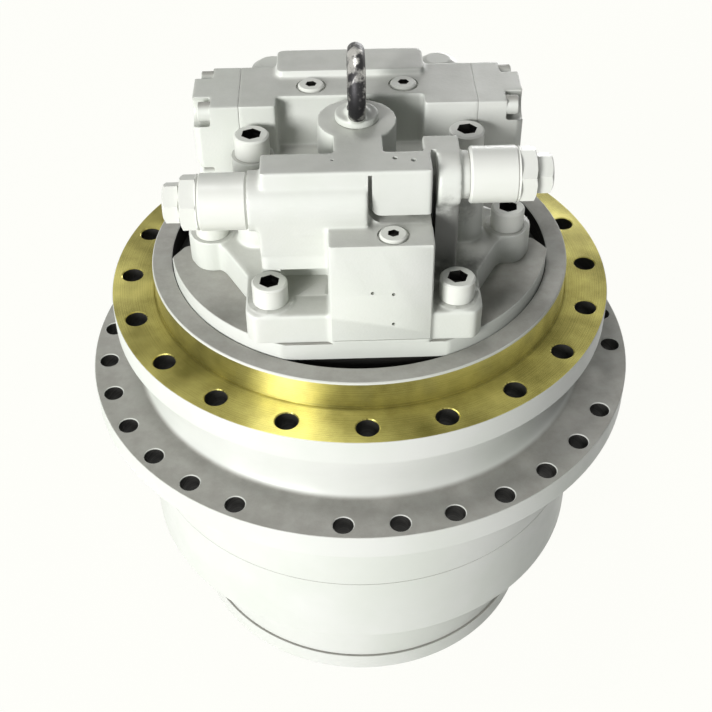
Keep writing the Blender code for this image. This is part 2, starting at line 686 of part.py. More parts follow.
def spindle():
    casing_bore = clear_bore(CASING_RADIUS, FLANGE_SIDES)
    collar_bore = clear_bore(CARRIER_COLLAR_RADIUS, FLANGE_SIDES)
    step_z = LEDGE_Z - MOTOR_BORE_DEPTH
    body = turned("spindle", [
        (SPIGOT_BORE_RADIUS, SPIGOT_TOP_Z), (SPIGOT_RADIUS - EDGE_BREAK, SPIGOT_TOP_Z),
        (SPIGOT_RADIUS, SPIGOT_TOP_Z - EDGE_BREAK), (SPIGOT_RADIUS, FRAME_FACE_Z),
        (FRAME_FLANGE_RADIUS, FRAME_FACE_Z), (FRAME_FLANGE_RADIUS, FRAME_FLANGE_Z),
        (SEAL_SEAT_RADIUS, FRAME_FLANGE_Z), (SEAL_SEAT_RADIUS, JOURNAL_TOP_Z),
        (JOURNAL_RADIUS, JOURNAL_TOP_Z), (JOURNAL_RADIUS, SPINDLE_END_Z),
        (collar_bore, SPINDLE_END_Z), (collar_bore, step_z),
        (casing_bore, step_z), (casing_bore, LEDGE_Z), (SPIGOT_BORE_RADIUS, LEDGE_Z),
    ], FLANGE_SIDES)
    frame_holes = on_circle(FRAME_BOLT_CIRCLE_RADIUS, even_angles(FRAME_HOLE_COUNT))
    cut(
        body,
        drills(
            "frame_holes", FRAME_HOLE_RADIUS, frame_holes,
            FRAME_FLANGE_Z - OVERRUN, FRAME_FACE_Z + OVERRUN, HOLE_SIDES
        ),
        drills(
            "spindle_screw_holes", SCREW_BORE, COVER_SCREW_PLACES.values(),
            PLATE_TOP_Z - SCREW_GRIP - OVERRUN, LEDGE_Z + OVERRUN, HOLE_SIDES
        ),
    )
    return body


# Hub with the sprocket flange

def hub():
    race_bore = clear_bore(BEARING_OUTER_RADIUS, FLANGE_SIDES)
    seal_bore = clear_bore(SEAL_RING_RADIUS, FLANGE_SIDES)
    turns = [i * math.pi / 2 / CORNER_STEPS for i in range(CORNER_STEPS + 1)]
    neck_foot = [
        (NECK_FOOT_RADIUS - NECK_SPREAD * math.cos(a), NECK_Z + NECK_FILLET * (1 - math.sin(a)))
        for a in turns
    ]
    body = turned("hub_housing", [
        (seal_bore, HUB_TOP_Z), (NECK_TOP_RADIUS, HUB_TOP_Z), *neck_foot,
        (SPROCKET_FLANGE_RADIUS, NECK_Z), (SPROCKET_FLANGE_RADIUS, SPROCKET_Z),
        (BARREL_RADIUS, SPROCKET_Z), (BARREL_RADIUS, HUB_Z),
        (HUB_END_BORE_RADIUS, HUB_Z), (HUB_END_BORE_RADIUS, LOWER_BEARING_Z),
        (race_bore, LOWER_BEARING_Z), (race_bore, LOWER_SHOULDER_Z),
        (HUB_SHOULDER_RADIUS, LOWER_SHOULDER_Z), (HUB_SHOULDER_RADIUS, UPPER_BEARING_Z - SEAT),
        (race_bore, UPPER_BEARING_Z - SEAT), (race_bore, SEAL_FLOOR_Z), (seal_bore, SEAL_FLOOR_Z),
    ], FLANGE_SIDES)
    angles = [
        HUB_REST_ANGLE + 2 * math.pi * i / SPROCKET_PITCH_COUNT
        for i in range(SPROCKET_PITCH_COUNT) if i % SPROCKET_SKIPPED_EVERY
    ]
    cut(body, drills(
        "sprocket_holes", SPROCKET_HOLE_RADIUS, on_circle(SPROCKET_BOLT_CIRCLE_RADIUS, angles),
        SPROCKET_Z - OVERRUN, NECK_Z + OVERRUN, HOLE_SIDES
    ))
    return body


# Main bearings, their nut and the floating seal

def bearing(level, low):
    """Two races and between them a cage with its rollers, all about the hub's axis."""
    high = low + BEARING_WIDTH
    inner_race_bore = clear_bore(JOURNAL_RADIUS, RING_SIDES)
    inner_track = JOURNAL_RADIUS + RACE_THICKNESS
    outer_track = BEARING_OUTER_RADIUS - RACE_THICKNESS
    inner_race = turned(f"{level}_inner_race", [
        (inner_race_bore, high), (inner_track, high), (inner_track, low), (inner_race_bore, low),
    ], RING_SIDES)
    outer_race = turned(f"{level}_outer_race", [
        (outer_track, high), (BEARING_OUTER_RADIUS, high), (BEARING_OUTER_RADIUS, low), (outer_track, low),
    ], RING_SIDES)
    roller_low = inner_track + 2 * SEAT
    roller_high = outer_track * math.cos(math.pi / RING_SIDES) - SEAT
    middle = (roller_low + roller_high) / 2
    step = 2 * math.pi / ROLLER_COUNT
    outer, inner = [], []
    for centre in even_angles(ROLLER_COUNT):
        near, far = centre - step * ROLLER_SHARE / 2, centre + step * ROLLER_SHARE / 2
        outer += on_circle(middle + CAGE_THICKNESS / 2, [near]) + on_circle(roller_high, [near, far])
        outer += on_circle(middle + CAGE_THICKNESS / 2, [far])
        inner += on_circle(middle - CAGE_THICKNESS / 2, [near]) + on_circle(roller_low, [near, far])
        inner += on_circle(middle - CAGE_THICKNESS / 2, [far])
    margin = BEARING_WIDTH * (1 - ROLLER_LENGTH_SHARE) / 2
    rollers = prism(f"{level}_roller_cage", [outer, inner], low + margin, high - margin)
    finish(inner_race, GROUND_STEEL)
    finish(outer_race, GROUND_STEEL)
    finish(rollers, BRONZE)


def bearing_nut():
    bore = clear_bore(JOURNAL_RADIUS, RING_SIDES)
    edge = JOURNAL_RADIUS + BEARING_NUT_WIDTH
    high = LOWER_BEARING_Z - SEAT
    low = high - BEARING_NUT_THICKNESS
    return turned("bearing_nut", [(bore, high), (edge, high), (edge, low), (bore, low)], RING_SIDES)


def floating_seal():
    """Two rings face to face, the upper on the spindle and the lower in the hub's neck."""
    bore = clear_bore(SEAL_SEAT_RADIUS, RING_SIDES)
    high = SEAL_FACE_Z + SEAL_RING_THICKNESS
    edge = SEAL_RING_RADIUS - SEAL_CLEARANCE
    fixed = turned("seal_ring_fixed", [
        (bore, high), (edge - SEAL_TAPER, high), (edge, SEAL_FACE_Z), (bore, SEAL_FACE_Z),
    ], RING_SIDES)
    moving_face = SEAL_FACE_Z - SEAT
    low = SEAL_FLOOR_Z + SEAT
    inner = SEAL_SEAT_RADIUS + SEAL_CLEARANCE
    moving = turned("seal_ring_moving", [
        (inner, moving_face), (SEAL_RING_RADIUS - SEAL_TAPER, moving_face),
        (SEAL_RING_RADIUS, low), (inner + SEAL_TAPER, low),
    ], RING_SIDES)
    finish(fixed, GROUND_STEEL)
    finish(moving, GROUND_STEEL)


# Ring gears and the end cover, which turn with the hub

def second_ring_gear():
    """The toothed drum, with a floor that rests on the first ring gear."""
    high = SECOND_RING_Z + SECOND_RING_HEIGHT
    turn = ring_turn(SECOND_SUN_TEETH, SECOND_PLANET_TEETH, SECOND_RING_TEETH)
    spaces = internal_gear(SECOND_RING_TEETH, SECOND_MODULE, turn)
    edge = on_circle(BARREL_RADIUS, even_angles(FLANGE_SIDES))
    bore = on_circle(SECOND_RING_BORE_RADIUS, even_angles(RING_SIDES))
    drum = prism("second_ring_gear", [edge, bore], SECOND_RING_Z, high)
    cut(drum, prism("second_ring_spaces", [spaces], SECOND_RING_Z + SECOND_RING_FLOOR, high + OVERRUN))
    return drum


def first_ring_gear():
    turn = ring_turn(FIRST_SUN_TEETH, FIRST_PLANET_TEETH, FIRST_RING_TEETH)
    spaces = internal_gear(FIRST_RING_TEETH, FIRST_MODULE, turn)
    edge = on_circle(FIRST_RING_RADIUS, even_angles(FLANGE_SIDES))
    return prism("first_ring_gear", [edge, spaces], FIRST_RING_Z, FIRST_RING_Z + FIRST_RING_HEIGHT)


def end_cover():
    spigot_top = END_COVER_THICKNESS + END_COVER_SPIGOT_HEIGHT
    pad_top = FIRST_RING_Z + THRUST_PAD_HEIGHT - SEAT
    cover = cylinder("end_cover", END_COVER_RADIUS, 0, END_COVER_THICKNESS, FLANGE_SIDES)
    join(
        cover,
        cylinder("cover_spigot", END_COVER_SPIGOT_RADIUS, OVERRUN, spigot_top, RING_SIDES),
        cylinder("thrust_pad", THRUST_PAD_RADIUS, OVERRUN, pad_top, SHAFT_SIDES),
    )
    places = on_circle(OIL_PLUG_CIRCLE_RADIUS, OIL_PLUG_ANGLES)
    bore = clear_bore(OIL_PLUG_RADIUS, HOLE_SIDES)
    cut(cover, drills("oil_holes", bore, places, -OVERRUN, OIL_PLUG_SINK + OIL_PLUG_DEPTH + SEAT, HOLE_SIDES))
    return cover


def oil_plug(name, angle):
    low = OIL_PLUG_SINK
    high = OIL_PLUG_SINK + OIL_PLUG_DEPTH
    x, y = on_circle(OIL_PLUG_CIRCLE_RADIUS, [angle])[0]
    plug = cylinder(name, OIL_PLUG_RADIUS, low, high, HOLE_SIDES, (x, y, 0))
    cut(plug, cylinder(
        f"{name}_socket", PLUG_SOCKET_RADIUS, low - OVERRUN, low + PLUG_SOCKET_DEPTH, HEX_SIDES, (x, y, 0)
    ))
    return plug


# Carriers, planets and suns

def first_carrier():
    plate_top = FIRST_CARRIER_TOP_Z + FIRST_CARRIER_TOP_PLATE
    hub_top = plate_top + FIRST_CARRIER_HUB_HEIGHT
    lip_top = FIRST_CARRIER_TOP_Z + FIRST_CARRIER_LIP
    neck_bore = clear_bore(SECOND_SUN_NECK_RADIUS, RING_SIDES)
    plate_high = FIRST_CARRIER_Z + FIRST_CARRIER_PLATE
    carrier = turned("first_carrier", [
        (SHAFT_PASSAGE_RADIUS, lip_top), (neck_bore, lip_top), (neck_bore, hub_top),
        (FIRST_CARRIER_HUB_RADIUS, hub_top), (FIRST_CARRIER_HUB_RADIUS, plate_top),
        (FIRST_CARRIER_RADIUS, plate_top), (FIRST_CARRIER_RADIUS, FIRST_CARRIER_TOP_Z),
        (SHAFT_PASSAGE_RADIUS, FIRST_CARRIER_TOP_Z),
    ], RING_SIDES)
    places = on_circle(FIRST_PIN_CIRCLE_RADIUS, FIRST_PLANET_ANGLES)
    pins = drills(
        "first_pins", FIRST_PIN_RADIUS, places,
        FIRST_CARRIER_Z + OVERRUN, FIRST_CARRIER_TOP_Z + OVERRUN, SHAFT_SIDES
    )
    plate = turned("first_carrier_plate", [
        (SHAFT_PASSAGE_RADIUS, plate_high), (FIRST_CARRIER_RADIUS, plate_high),
        (FIRST_CARRIER_RADIUS, FIRST_CARRIER_Z), (SHAFT_PASSAGE_RADIUS, FIRST_CARRIER_Z),
    ], RING_SIDES)
    join(carrier, pins, plate)
    return carrier


def second_carrier():
    """The fixed carrier: its collar sits in the spindle's end and its pins carry the second planets."""
    plate_top = SPINDLE_END_Z - SEAT
    collar_top = plate_top + SECOND_CARRIER_COLLAR_HEIGHT
    collar_inner = CARRIER_COLLAR_RADIUS - SECOND_CARRIER_COLLAR_WALL
    plate_high = SECOND_CARRIER_Z + SECOND_CARRIER_PLATE
    passage = SECOND_SUN_TIP_RADIUS + SUN_PASSAGE_GAP
    carrier = turned("second_carrier", [
        (SHAFT_PASSAGE_RADIUS, plate_top), (collar_inner, plate_top), (collar_inner, collar_top),
        (CARRIER_COLLAR_RADIUS, collar_top), (CARRIER_COLLAR_RADIUS, plate_top),
        (SECOND_CARRIER_RADIUS, plate_top), (SECOND_CARRIER_RADIUS, SECOND_CARRIER_TOP_Z),
        (SHAFT_PASSAGE_RADIUS, SECOND_CARRIER_TOP_Z),
    ], RING_SIDES)
    places = on_circle(SECOND_PIN_CIRCLE_RADIUS, SECOND_PLANET_ANGLES)
    pins = drills(
        "second_pins", SECOND_PIN_RADIUS, places,
        SECOND_CARRIER_Z + OVERRUN, SECOND_CARRIER_TOP_Z + OVERRUN, SHAFT_SIDES
    )
    plate = turned("second_carrier_plate", [
        (passage, plate_high), (SECOND_CARRIER_RADIUS, plate_high),
        (SECOND_CARRIER_RADIUS, SECOND_CARRIER_Z), (passage, SECOND_CARRIER_Z),
    ], RING_SIDES)
    join(carrier, pins, plate)
    return carrier


def planet(name, angle, circle_radius, sun_teeth, teeth, module, pin_radius, low, high):
    """A planet at its pin, turned so that its teeth mesh with a sun that has a tooth on +X."""
    x, y = on_circle(circle_radius, [angle])[0]
    outline = external_gear(teeth, module, planet_turn(angle, sun_teeth, teeth))
    bore = on_circle(clear_bore(pin_radius, SHAFT_SIDES), even_angles(SHAFT_SIDES))
    return prism(name, [outline, bore], low, high, (x, y, 0))


def first_planet(index, angle):
    return planet(
        f"first_planet_{index}", angle, FIRST_PIN_CIRCLE_RADIUS, FIRST_SUN_TEETH, FIRST_PLANET_TEETH,
        FIRST_MODULE, FIRST_PIN_RADIUS, FIRST_PLANET_Z, FIRST_PLANET_Z + FIRST_PLANET_WIDTH
    )


def second_planet(index, angle):
    return planet(
        f"second_planet_{index}", angle, SECOND_PIN_CIRCLE_RADIUS, SECOND_SUN_TEETH, SECOND_PLANET_TEETH,
        SECOND_MODULE, SECOND_PIN_RADIUS, SECOND_PLANET_Z, SECOND_PLANET_Z + SECOND_PLANET_WIDTH
    )


def first_sun_gear():
    outline = external_gear(FIRST_SUN_TEETH, FIRST_MODULE, 0)
    bore = on_circle(clear_bore(SHAFT_RADIUS, SHAFT_SIDES), even_angles(SHAFT_SIDES))
    return prism(
        "first_sun_gear", [outline, bore],
        FIRST_PLANET_Z + SUN_END_GAP, FIRST_PLANET_Z + FIRST_PLANET_WIDTH - SUN_END_GAP
    )


def second_sun_gear():
    """The second sun on the neck that sits in the first carrier, hollow for the drive shaft."""
    low = FIRST_CARRIER_TOP_Z + FIRST_CARRIER_LIP + SEAT
    high = SECOND_PLANET_Z + SECOND_PLANET_WIDTH
    neck = cylinder("second_sun_gear", SECOND_SUN_NECK_RADIUS, low, SECOND_PLANET_Z + OVERRUN, RING_SIDES)
    outline = external_gear(SECOND_SUN_TEETH, SECOND_MODULE, 0)
    join(neck, prism("second_sun_teeth", [outline], SECOND_PLANET_Z, high))
    cut(neck, cylinder("second_sun_bore", SECOND_SUN_BORE_RADIUS, low - OVERRUN, high + OVERRUN, SHAFT_SIDES))
    return neck


# Motor casing with its bearings and seal

def motor_casing():
    """The casing in the spindle's bore, with a flat at the front and a way through for the drive shaft."""
    seal_top = CASING_BOTTOM_Z + SHAFT_SEAL_WIDTH + SEAT
    seal_bore = clear_bore(SHAFT_SEAL_RADIUS, FLANGE_SIDES)
    bearing_bore = clear_bore(SHAFT_BEARING_RADIUS, FLANGE_SIDES)
    casing = turned("motor_casing", [
        (bearing_bore, CASING_TOP_Z), (CASING_FLANGE_RADIUS, CASING_TOP_Z),
        (CASING_FLANGE_RADIUS, CASING_FLANGE_Z), (CASING_RADIUS, CASING_FLANGE_Z),
        (CASING_RADIUS, CASING_BOTTOM_Z), (seal_bore, CASING_BOTTOM_Z), (seal_bore, seal_top),
        (bearing_bore, seal_top),
    ], FLANGE_SIDES)
    cut(
        casing,
        box(
            "casing_flat",
            (-CASING_FLANGE_RADIUS, -CASING_FLANGE_RADIUS - OVERRUN, CASING_FLANGE_Z - OVERRUN),
            (CASING_FLANGE_RADIUS, -CASING_FLAT, CASING_TOP_Z + OVERRUN),
        ),
        drills(
            "casing_screw_holes", SCREW_BORE, COVER_SCREW_PLACES.values(),
            CASING_FLANGE_Z - OVERRUN, CASING_TOP_Z + OVERRUN, HOLE_SIDES
        ),
    )
    return casing


def shaft_ring(name, radius, low, high):
    bore = clear_bore(SHAFT_RADIUS, SHAFT_SIDES)
    return turned(name, [(bore, high), (radius, high), (radius, low), (bore, low)], SHAFT_SIDES)


def shaft_seal():
    return shaft_ring("shaft_seal", SHAFT_SEAL_RADIUS, CASING_BOTTOM_Z, CASING_BOTTOM_Z + SHAFT_SEAL_WIDTH)


def lower_shaft_bearing():
    low = CASING_BOTTOM_Z + SHAFT_SEAL_WIDTH + 2 * SEAT
    return shaft_ring("lower_shaft_bearing", SHAFT_BEARING_RADIUS, low, low + SHAFT_BEARING_WIDTH)


def upper_shaft_bearing():
    high = COVER_BEARING_TOP_Z - SEAT
    return shaft_ring("upper_shaft_bearing", COVER_BEARING_RADIUS, high - SHAFT_BEARING_WIDTH, high)


def drive_shaft():
    return cylinder("drive_shaft", SHAFT_RADIUS, SHAFT_BOTTOM_Z, SHAFT_TOP_Z, SHAFT_SIDES)


# Motor cover with its valve housings

def cover_pieces(cover_z):
    """The blocks and bosses that are cast in one with the base plate."""
    front = rounded_rectangle(
        (FRONT_BLOCK_LEFT, -CASING_FLAT), (FRONT_BLOCK_RIGHT, BODY_FRONT + OVERRUN), FRONT_BLOCK_CORNER
    )
    body = rounded_rectangle((BODY_LEFT, BODY_FRONT), (BODY_RIGHT, BODY_BACK), BODY_CORNER)
    foot = rounded_rectangle(
        (-REAR_FOOT_HALF_LENGTH, REAR_BLOCK_FRONT), (REAR_FOOT_HALF_LENGTH, REAR_FOOT_BACK), BODY_CORNER
    )
    rib = hull_of_circles(
        (RIB_X, RIB_BACK_Y), RIB_RADIUS, (RIB_X, RIB_FRONT_Y), RIB_RADIUS, CORNER_STEPS + 1
    )
    raised = rounded_rectangle(
        (RAISED_LEFT, RAISED_FRONT), (RAISED_RIGHT, RAISED_BACK), BODY_CORNER
    )
    tall_top = PLATE_TOP_Z + TALL_BOSS_HEIGHT
    sunk = cover_z - OVERRUN
    pieces = [
        drills(
            "screw_pads", SCREW_LOBE_RADIUS, COVER_SCREW_PLACES.values(),
            PLATE_Z + SCREW_PAD_RISE, PLATE_TOP_Z, SHAFT_SIDES
        ),
        prism("cover_body", [body], sunk, BODY_TOP_Z),
        prism("front_block", [front], sunk, BODY_TOP_Z),
        box(
            "valve_bar", (BAR_LEFT, BODY_FRONT, BODY_TOP_Z - OVERRUN), (BAR_RIGHT, BAR_BACK, BAR_TOP_Z)
        ),
        prism("rib", [rib], sunk, BAR_TOP_Z),
        drills(
            "eye_boss", EYE_BOSS_RADIUS, [(EYE_BOSS_X, EYE_BOSS_Y)],
            BODY_TOP_Z - OVERRUN, BAR_TOP_Z, RING_SIDES
        ),
        box(
            "eye_neck",
            (EYE_BOSS_X - EYE_NECK_HALF_WIDTH, BAR_BACK - OVERRUN, BODY_TOP_Z - OVERRUN),
            (EYE_BOSS_X + EYE_NECK_HALF_WIDTH, EYE_BOSS_Y, BAR_TOP_Z),
        ),
        drills(
            "tall_bosses", TALL_BOSS_RADIUS, TALL_SCREW_PLACES.values(), sunk, tall_top, SHAFT_SIDES
        ),
        prism("rear_foot", [foot], sunk, REAR_BLOCK_Z + OVERRUN),
        box(
            "rear_block", (-REAR_BLOCK_HALF_LENGTH, REAR_BLOCK_FRONT, REAR_BLOCK_Z),
            (REAR_BLOCK_HALF_LENGTH, REAR_BLOCK_BACK, BAR_TOP_Z),
        ),
        prism("raised_block", [raised], REAR_BLOCK_Z, BAR_TOP_Z + RAISED_RISE),
        drills(
            "port_bosses", PORT_BOSS_RADIUS, [(-PORT_X, PORT_Y), (PORT_X, PORT_Y)],
            REAR_BLOCK_Z, PORT_BOSS_TOP_Z, SHAFT_SIDES
        ),
    ]
    for side in (-1, 1):
        pieces.append(box(
            f"port_neck_{side + 1}",
            (side * PORT_X - PORT_NECK_HALF_WIDTH, REAR_BLOCK_BACK - OVERRUN, REAR_BLOCK_Z),
            (side * PORT_X + PORT_NECK_HALF_WIDTH, PORT_Y, PORT_BOSS_TOP_Z - PORT_NECK_DROP),
        ))
    for name, (side, start, y, z) in VALVE_PLACES.items():
        pieces.append(along_x(
            f"valve_collar_{name}", VALVE_COLLAR_RADIUS, VALVE_COLLAR_ROOTS[name], start,
            SHAFT_SIDES, (0, y, z), side
        ))
    return pieces


def cover_cuts():
    """The bores, counterbores and recesses of the cover."""
    tall_top = PLATE_TOP_Z + TALL_BOSS_HEIGHT
    groove_radius = SCREW_HEAD_RADIUS + SCREW_GROOVE_GAP
    fronts = [place for name, place in COVER_SCREW_PLACES.items() if "front" in name]
    bearing_bore = clear_bore(COVER_BEARING_RADIUS, SHAFT_SIDES)
    shank_bore = clear_bore(PLUG_SHANK_RADIUS, SHAFT_SIDES)
    tools = [
        drills(
            "cover_screw_holes", SCREW_BORE, COVER_SCREW_PLACES.values(),
            PLATE_Z - OVERRUN, PLATE_TOP_Z + OVERRUN, HOLE_SIDES
        ),
        drills("screw_grooves", groove_radius, fronts, PLATE_TOP_Z, BAR_TOP_Z + OVERRUN, SHAFT_SIDES),
        drills(
            "tall_screw_holes", SCREW_BORE, TALL_SCREW_PLACES.values(),
            tall_top - TALL_SCREW_GRIP - SEAT, tall_top + OVERRUN, HOLE_SIDES
        ),
        box(
            "rear_recess", (REAR_RECESS_LEFT, REAR_BLOCK_FRONT - OVERRUN, BODY_TOP_Z),
            (REAR_RECESS_RIGHT, REAR_BLOCK_FRONT + REAR_RECESS_DEPTH, BAR_TOP_Z + OVERRUN),
        ),
        box(
            "bar_recess", (BAR_RECESS_LEFT, BODY_FRONT - OVERRUN, BODY_TOP_Z + BAR_RECESS_MARGIN),
            (BAR_RECESS_RIGHT, BODY_FRONT + BAR_RECESS_DEPTH, BAR_TOP_Z - BAR_RECESS_MARGIN),
        ),
        cylinder(
            "spool_bore", clear_bore(SPOOL_RADIUS, SHAFT_SIDES), -REAR_BLOCK_HALF_LENGTH - OVERRUN,
            REAR_BLOCK_HALF_LENGTH + OVERRUN, SHAFT_SIDES, (0, SPOOL_Y, SPOOL_Z), "X"
        ),
        drills(
            "port_bores", PORT_RADIUS, [(-PORT_X, PORT_Y), (PORT_X, PORT_Y)],
            PORT_BOSS_TOP_Z - PORT_DEPTH, PORT_BOSS_TOP_Z + OVERRUN, SHAFT_SIDES
        ),
        cylinder(
            "bearing_pocket", bearing_bore, PLATE_Z - OVERRUN, COVER_BEARING_TOP_Z, SHAFT_SIDES
        ),
        cylinder(
            "eye_hole", clear_bore(EYE_SHANK_RADIUS, SHAFT_SIDES), BAR_TOP_Z - EYE_SHANK_LENGTH - SEAT,
            BAR_TOP_Z + OVERRUN, SHAFT_SIDES, (EYE_BOSS_X, EYE_BOSS_Y, 0)
        ),
    ]
    for name, (x, y, z) in PLUG_PLACES.items():
        tools.append(cylinder(
            f"{name}_sink", PLUG_SINK_RADIUS, z - PLUG_SINK, z + OVERRUN + RAISED_RISE, SHAFT_SIDES, (x, y, 0)
        ))
        tools.append(cylinder(
            f"{name}_hole", shank_bore, z - PLUG_SINK - PLUG_SHANK_LENGTH - SEAT, z, SHAFT_SIDES, (x, y, 0)
        ))
    port_z = (PLATE_TOP_Z + REAR_BLOCK_Z) / 2
    for side in (-1, 1):
        tools.append(cylinder(
            f"hose_port_{side + 1}", HOSE_PORT_RADIUS, REAR_FOOT_BACK - HOSE_PORT_DEPTH,
            REAR_FOOT_BACK + OVERRUN, SHAFT_SIDES, (side * HOSE_PORT_X, 0, port_z), "Y"
        ))
    for name, (side, start, y, z) in VALVE_PLACES.items():
        tools.append(along_x(
            f"valve_bore_{name}", clear_bore(VALVE_STEM_RADIUS, SHAFT_SIDES), start - VALVE_STEM_LENGTH,
            start + OVERRUN, SHAFT_SIDES, (0, y, z), side
        ))
    return tools


def motor_cover():
    right = [(x * CASING_FLANGE_RADIUS, y * CASING_FLANGE_RADIUS) for x, y in PLATE_OUTLINE_SHARES]
    left = [(-x, y) for x, y in reversed(right)]
    cover = prism("motor_cover", [right + left], PLATE_Z, PLATE_TOP_Z - SCREW_PAD_RISE)
    join(cover, *cover_pieces(PLATE_TOP_Z))
    cut(cover, *cover_cuts())
    return cover


# Pieces fitted to the motor cover

def relief_valve(name, side, start, y, z):
    centre = (0, y, z)
    seat = start + SEAT
    sleeve_end = seat + VALVE_SLEEVE_LENGTH
    hex_end = sleeve_end + VALVE_HEX_LENGTH
    cap_start = hex_end + SEAT
    cap_end = cap_start + VALVE_CAP_LENGTH
    sleeve = along_x(f"relief_valve_{name}", VALVE_SLEEVE_RADIUS, seat, sleeve_end, SHAFT_SIDES, centre, side)
    stem = along_x(
        f"valve_stem_{name}", VALVE_STEM_RADIUS, start - VALVE_STEM_LENGTH + SEAT, seat + OVERRUN,
        SHAFT_SIDES, centre, side
    )
    hexagon = along_x(
        f"valve_hex_{name}", VALVE_HEX_RADIUS, sleeve_end - OVERRUN, hex_end, HEX_SIDES, centre, side
    )
    join(sleeve, hexagon, stem)
    cut(sleeve, along_x(
        f"cap_bore_{name}", clear_bore(VALVE_CAP_STEM_RADIUS, SHAFT_SIDES), hex_end - VALVE_CAP_STEM_LENGTH,
        hex_end + OVERRUN, SHAFT_SIDES, centre, side
    ))
    chamfer_start = cap_end - VALVE_CAP_CHAMFER
    low, high = (chamfer_start, cap_end) if side > 0 else (-cap_end, -chamfer_start)
    wide, narrow = VALVE_CAP_RADIUS, VALVE_CAP_RADIUS - VALVE_CAP_CHAMFER
    cap = along_x(
        f"relief_cap_{name}", VALVE_CAP_RADIUS, cap_start, chamfer_start, SHAFT_SIDES, centre, side
    )
    cone = cylinder(
        f"cap_cone_{name}", wide if side > 0 else narrow, low, high, SHAFT_SIDES, centre, "X",
        narrow if side > 0 else wide
    )
    cap_stem = along_x(
        f"cap_stem_{name}", VALVE_CAP_STEM_RADIUS, cap_start - VALVE_CAP_STEM_LENGTH + SEAT,
        cap_start + OVERRUN, SHAFT_SIDES, centre, side
    )
    join(cap, cone, cap_stem)
    finish(sleeve, GREY_PAINT)
    finish(cap, GREY_PAINT)


def socket_screw(name, place, head, head_height, shank, shank_length, socket, socket_depth):
    """A round head with a hexagon socket, standing on place, and its plain shank."""
    screw = cylinder(name, head, SEAT, SEAT + head_height, SHAFT_SIDES, place)
    join(screw, cylinder(f"{name}_shank", shank, SEAT - shank_length, 2 * SEAT, HOLE_SIDES, place))
    top = SEAT + head_height
    cut(screw, cylinder(f"{name}_socket", socket, top - socket_depth, top + OVERRUN, HEX_SIDES, place))
    return screw


def cap_screw(name, x, y, seat_z, grip):
    return socket_screw(
        name, (x, y, seat_z), SCREW_HEAD_RADIUS, SCREW_HEAD_HEIGHT, SCREW_RADIUS, grip,
        SCREW_SOCKET_RADIUS, SCREW_SOCKET_DEPTH
    )


def socket_plug(name, x, y, face_z):
    return socket_screw(
        name, (x, y, face_z - PLUG_SINK), PLUG_RADIUS, PLUG_HEAD_HEIGHT, PLUG_SHANK_RADIUS,
        PLUG_SHANK_LENGTH, PLUG_SOCKET_RADIUS, PLUG_SOCKET_DEPTH
    )


def port_cap(name, side):
    seat = PORT_BOSS_TOP_Z + SEAT
    rim = seat + PORT_CAP_HEIGHT
    top = rim + PORT_CAP_DOME
    low = seat - PORT_DEPTH / 2
    stem = PORT_RADIUS * math.cos(math.pi / SHAFT_SIDES) - SEAT
    return turned(name, [
        (0, top), (PORT_CAP_RADIUS * PORT_CAP_DOME_SHARE, top), (PORT_CAP_RADIUS, rim),
        (PORT_CAP_RADIUS, seat), (stem, seat), (stem, low), (0, low),
    ], SHAFT_SIDES, (side * PORT_X, PORT_Y, 0))


def eye_bolt():
    seat = BAR_TOP_Z + SEAT
    collar_top = seat + EYE_COLLAR_HEIGHT
    low = seat - EYE_SHANK_LENGTH
    collar = turned("eye_bolt", [
        (0, collar_top), (EYE_COLLAR_RADIUS, collar_top), (EYE_COLLAR_RADIUS, seat),
        (EYE_SHANK_RADIUS, seat), (EYE_SHANK_RADIUS, low), (0, low),
    ], SHAFT_SIDES, (EYE_BOSS_X, EYE_BOSS_Y, 0))
    turns = [math.pi / 2 - 2 * math.pi * i / EYE_WIRE_STEPS for i in range(EYE_WIRE_STEPS)]
    ring = turned("eye_ring", [
        (EYE_RING_RADIUS + EYE_WIRE_RADIUS * math.cos(a), EYE_WIRE_RADIUS * math.sin(a)) for a in turns
    ], EYE_RING_STEPS, (EYE_BOSS_X, EYE_BOSS_Y, BAR_TOP_Z + EYE_RING_RISE), "X")
    join(collar, ring)
    return collar


def spool():
    """A spool with two grooves, along X in the rear block."""
    land = SPOOL_HALF_LENGTH * SPOOL_LAND_SHARE
    centre = SPOOL_HALF_LENGTH * SPOOL_CENTRE_SHARE
    half = [
        (SPOOL_RADIUS, SPOOL_HALF_LENGTH), (SPOOL_RADIUS, land), (SPOOL_GROOVE_RADIUS, land),
        (SPOOL_GROOVE_RADIUS, centre), (SPOOL_RADIUS, centre),
    ]
    mirrored = [(radius, -x) for radius, x in reversed(half)]
    profile = [(0, SPOOL_HALF_LENGTH), *half, *mirrored, (0, -SPOOL_HALF_LENGTH)]
    return turned("counterbalance_spool", profile, SHAFT_SIDES, (0, SPOOL_Y, SPOOL_Z), "X")


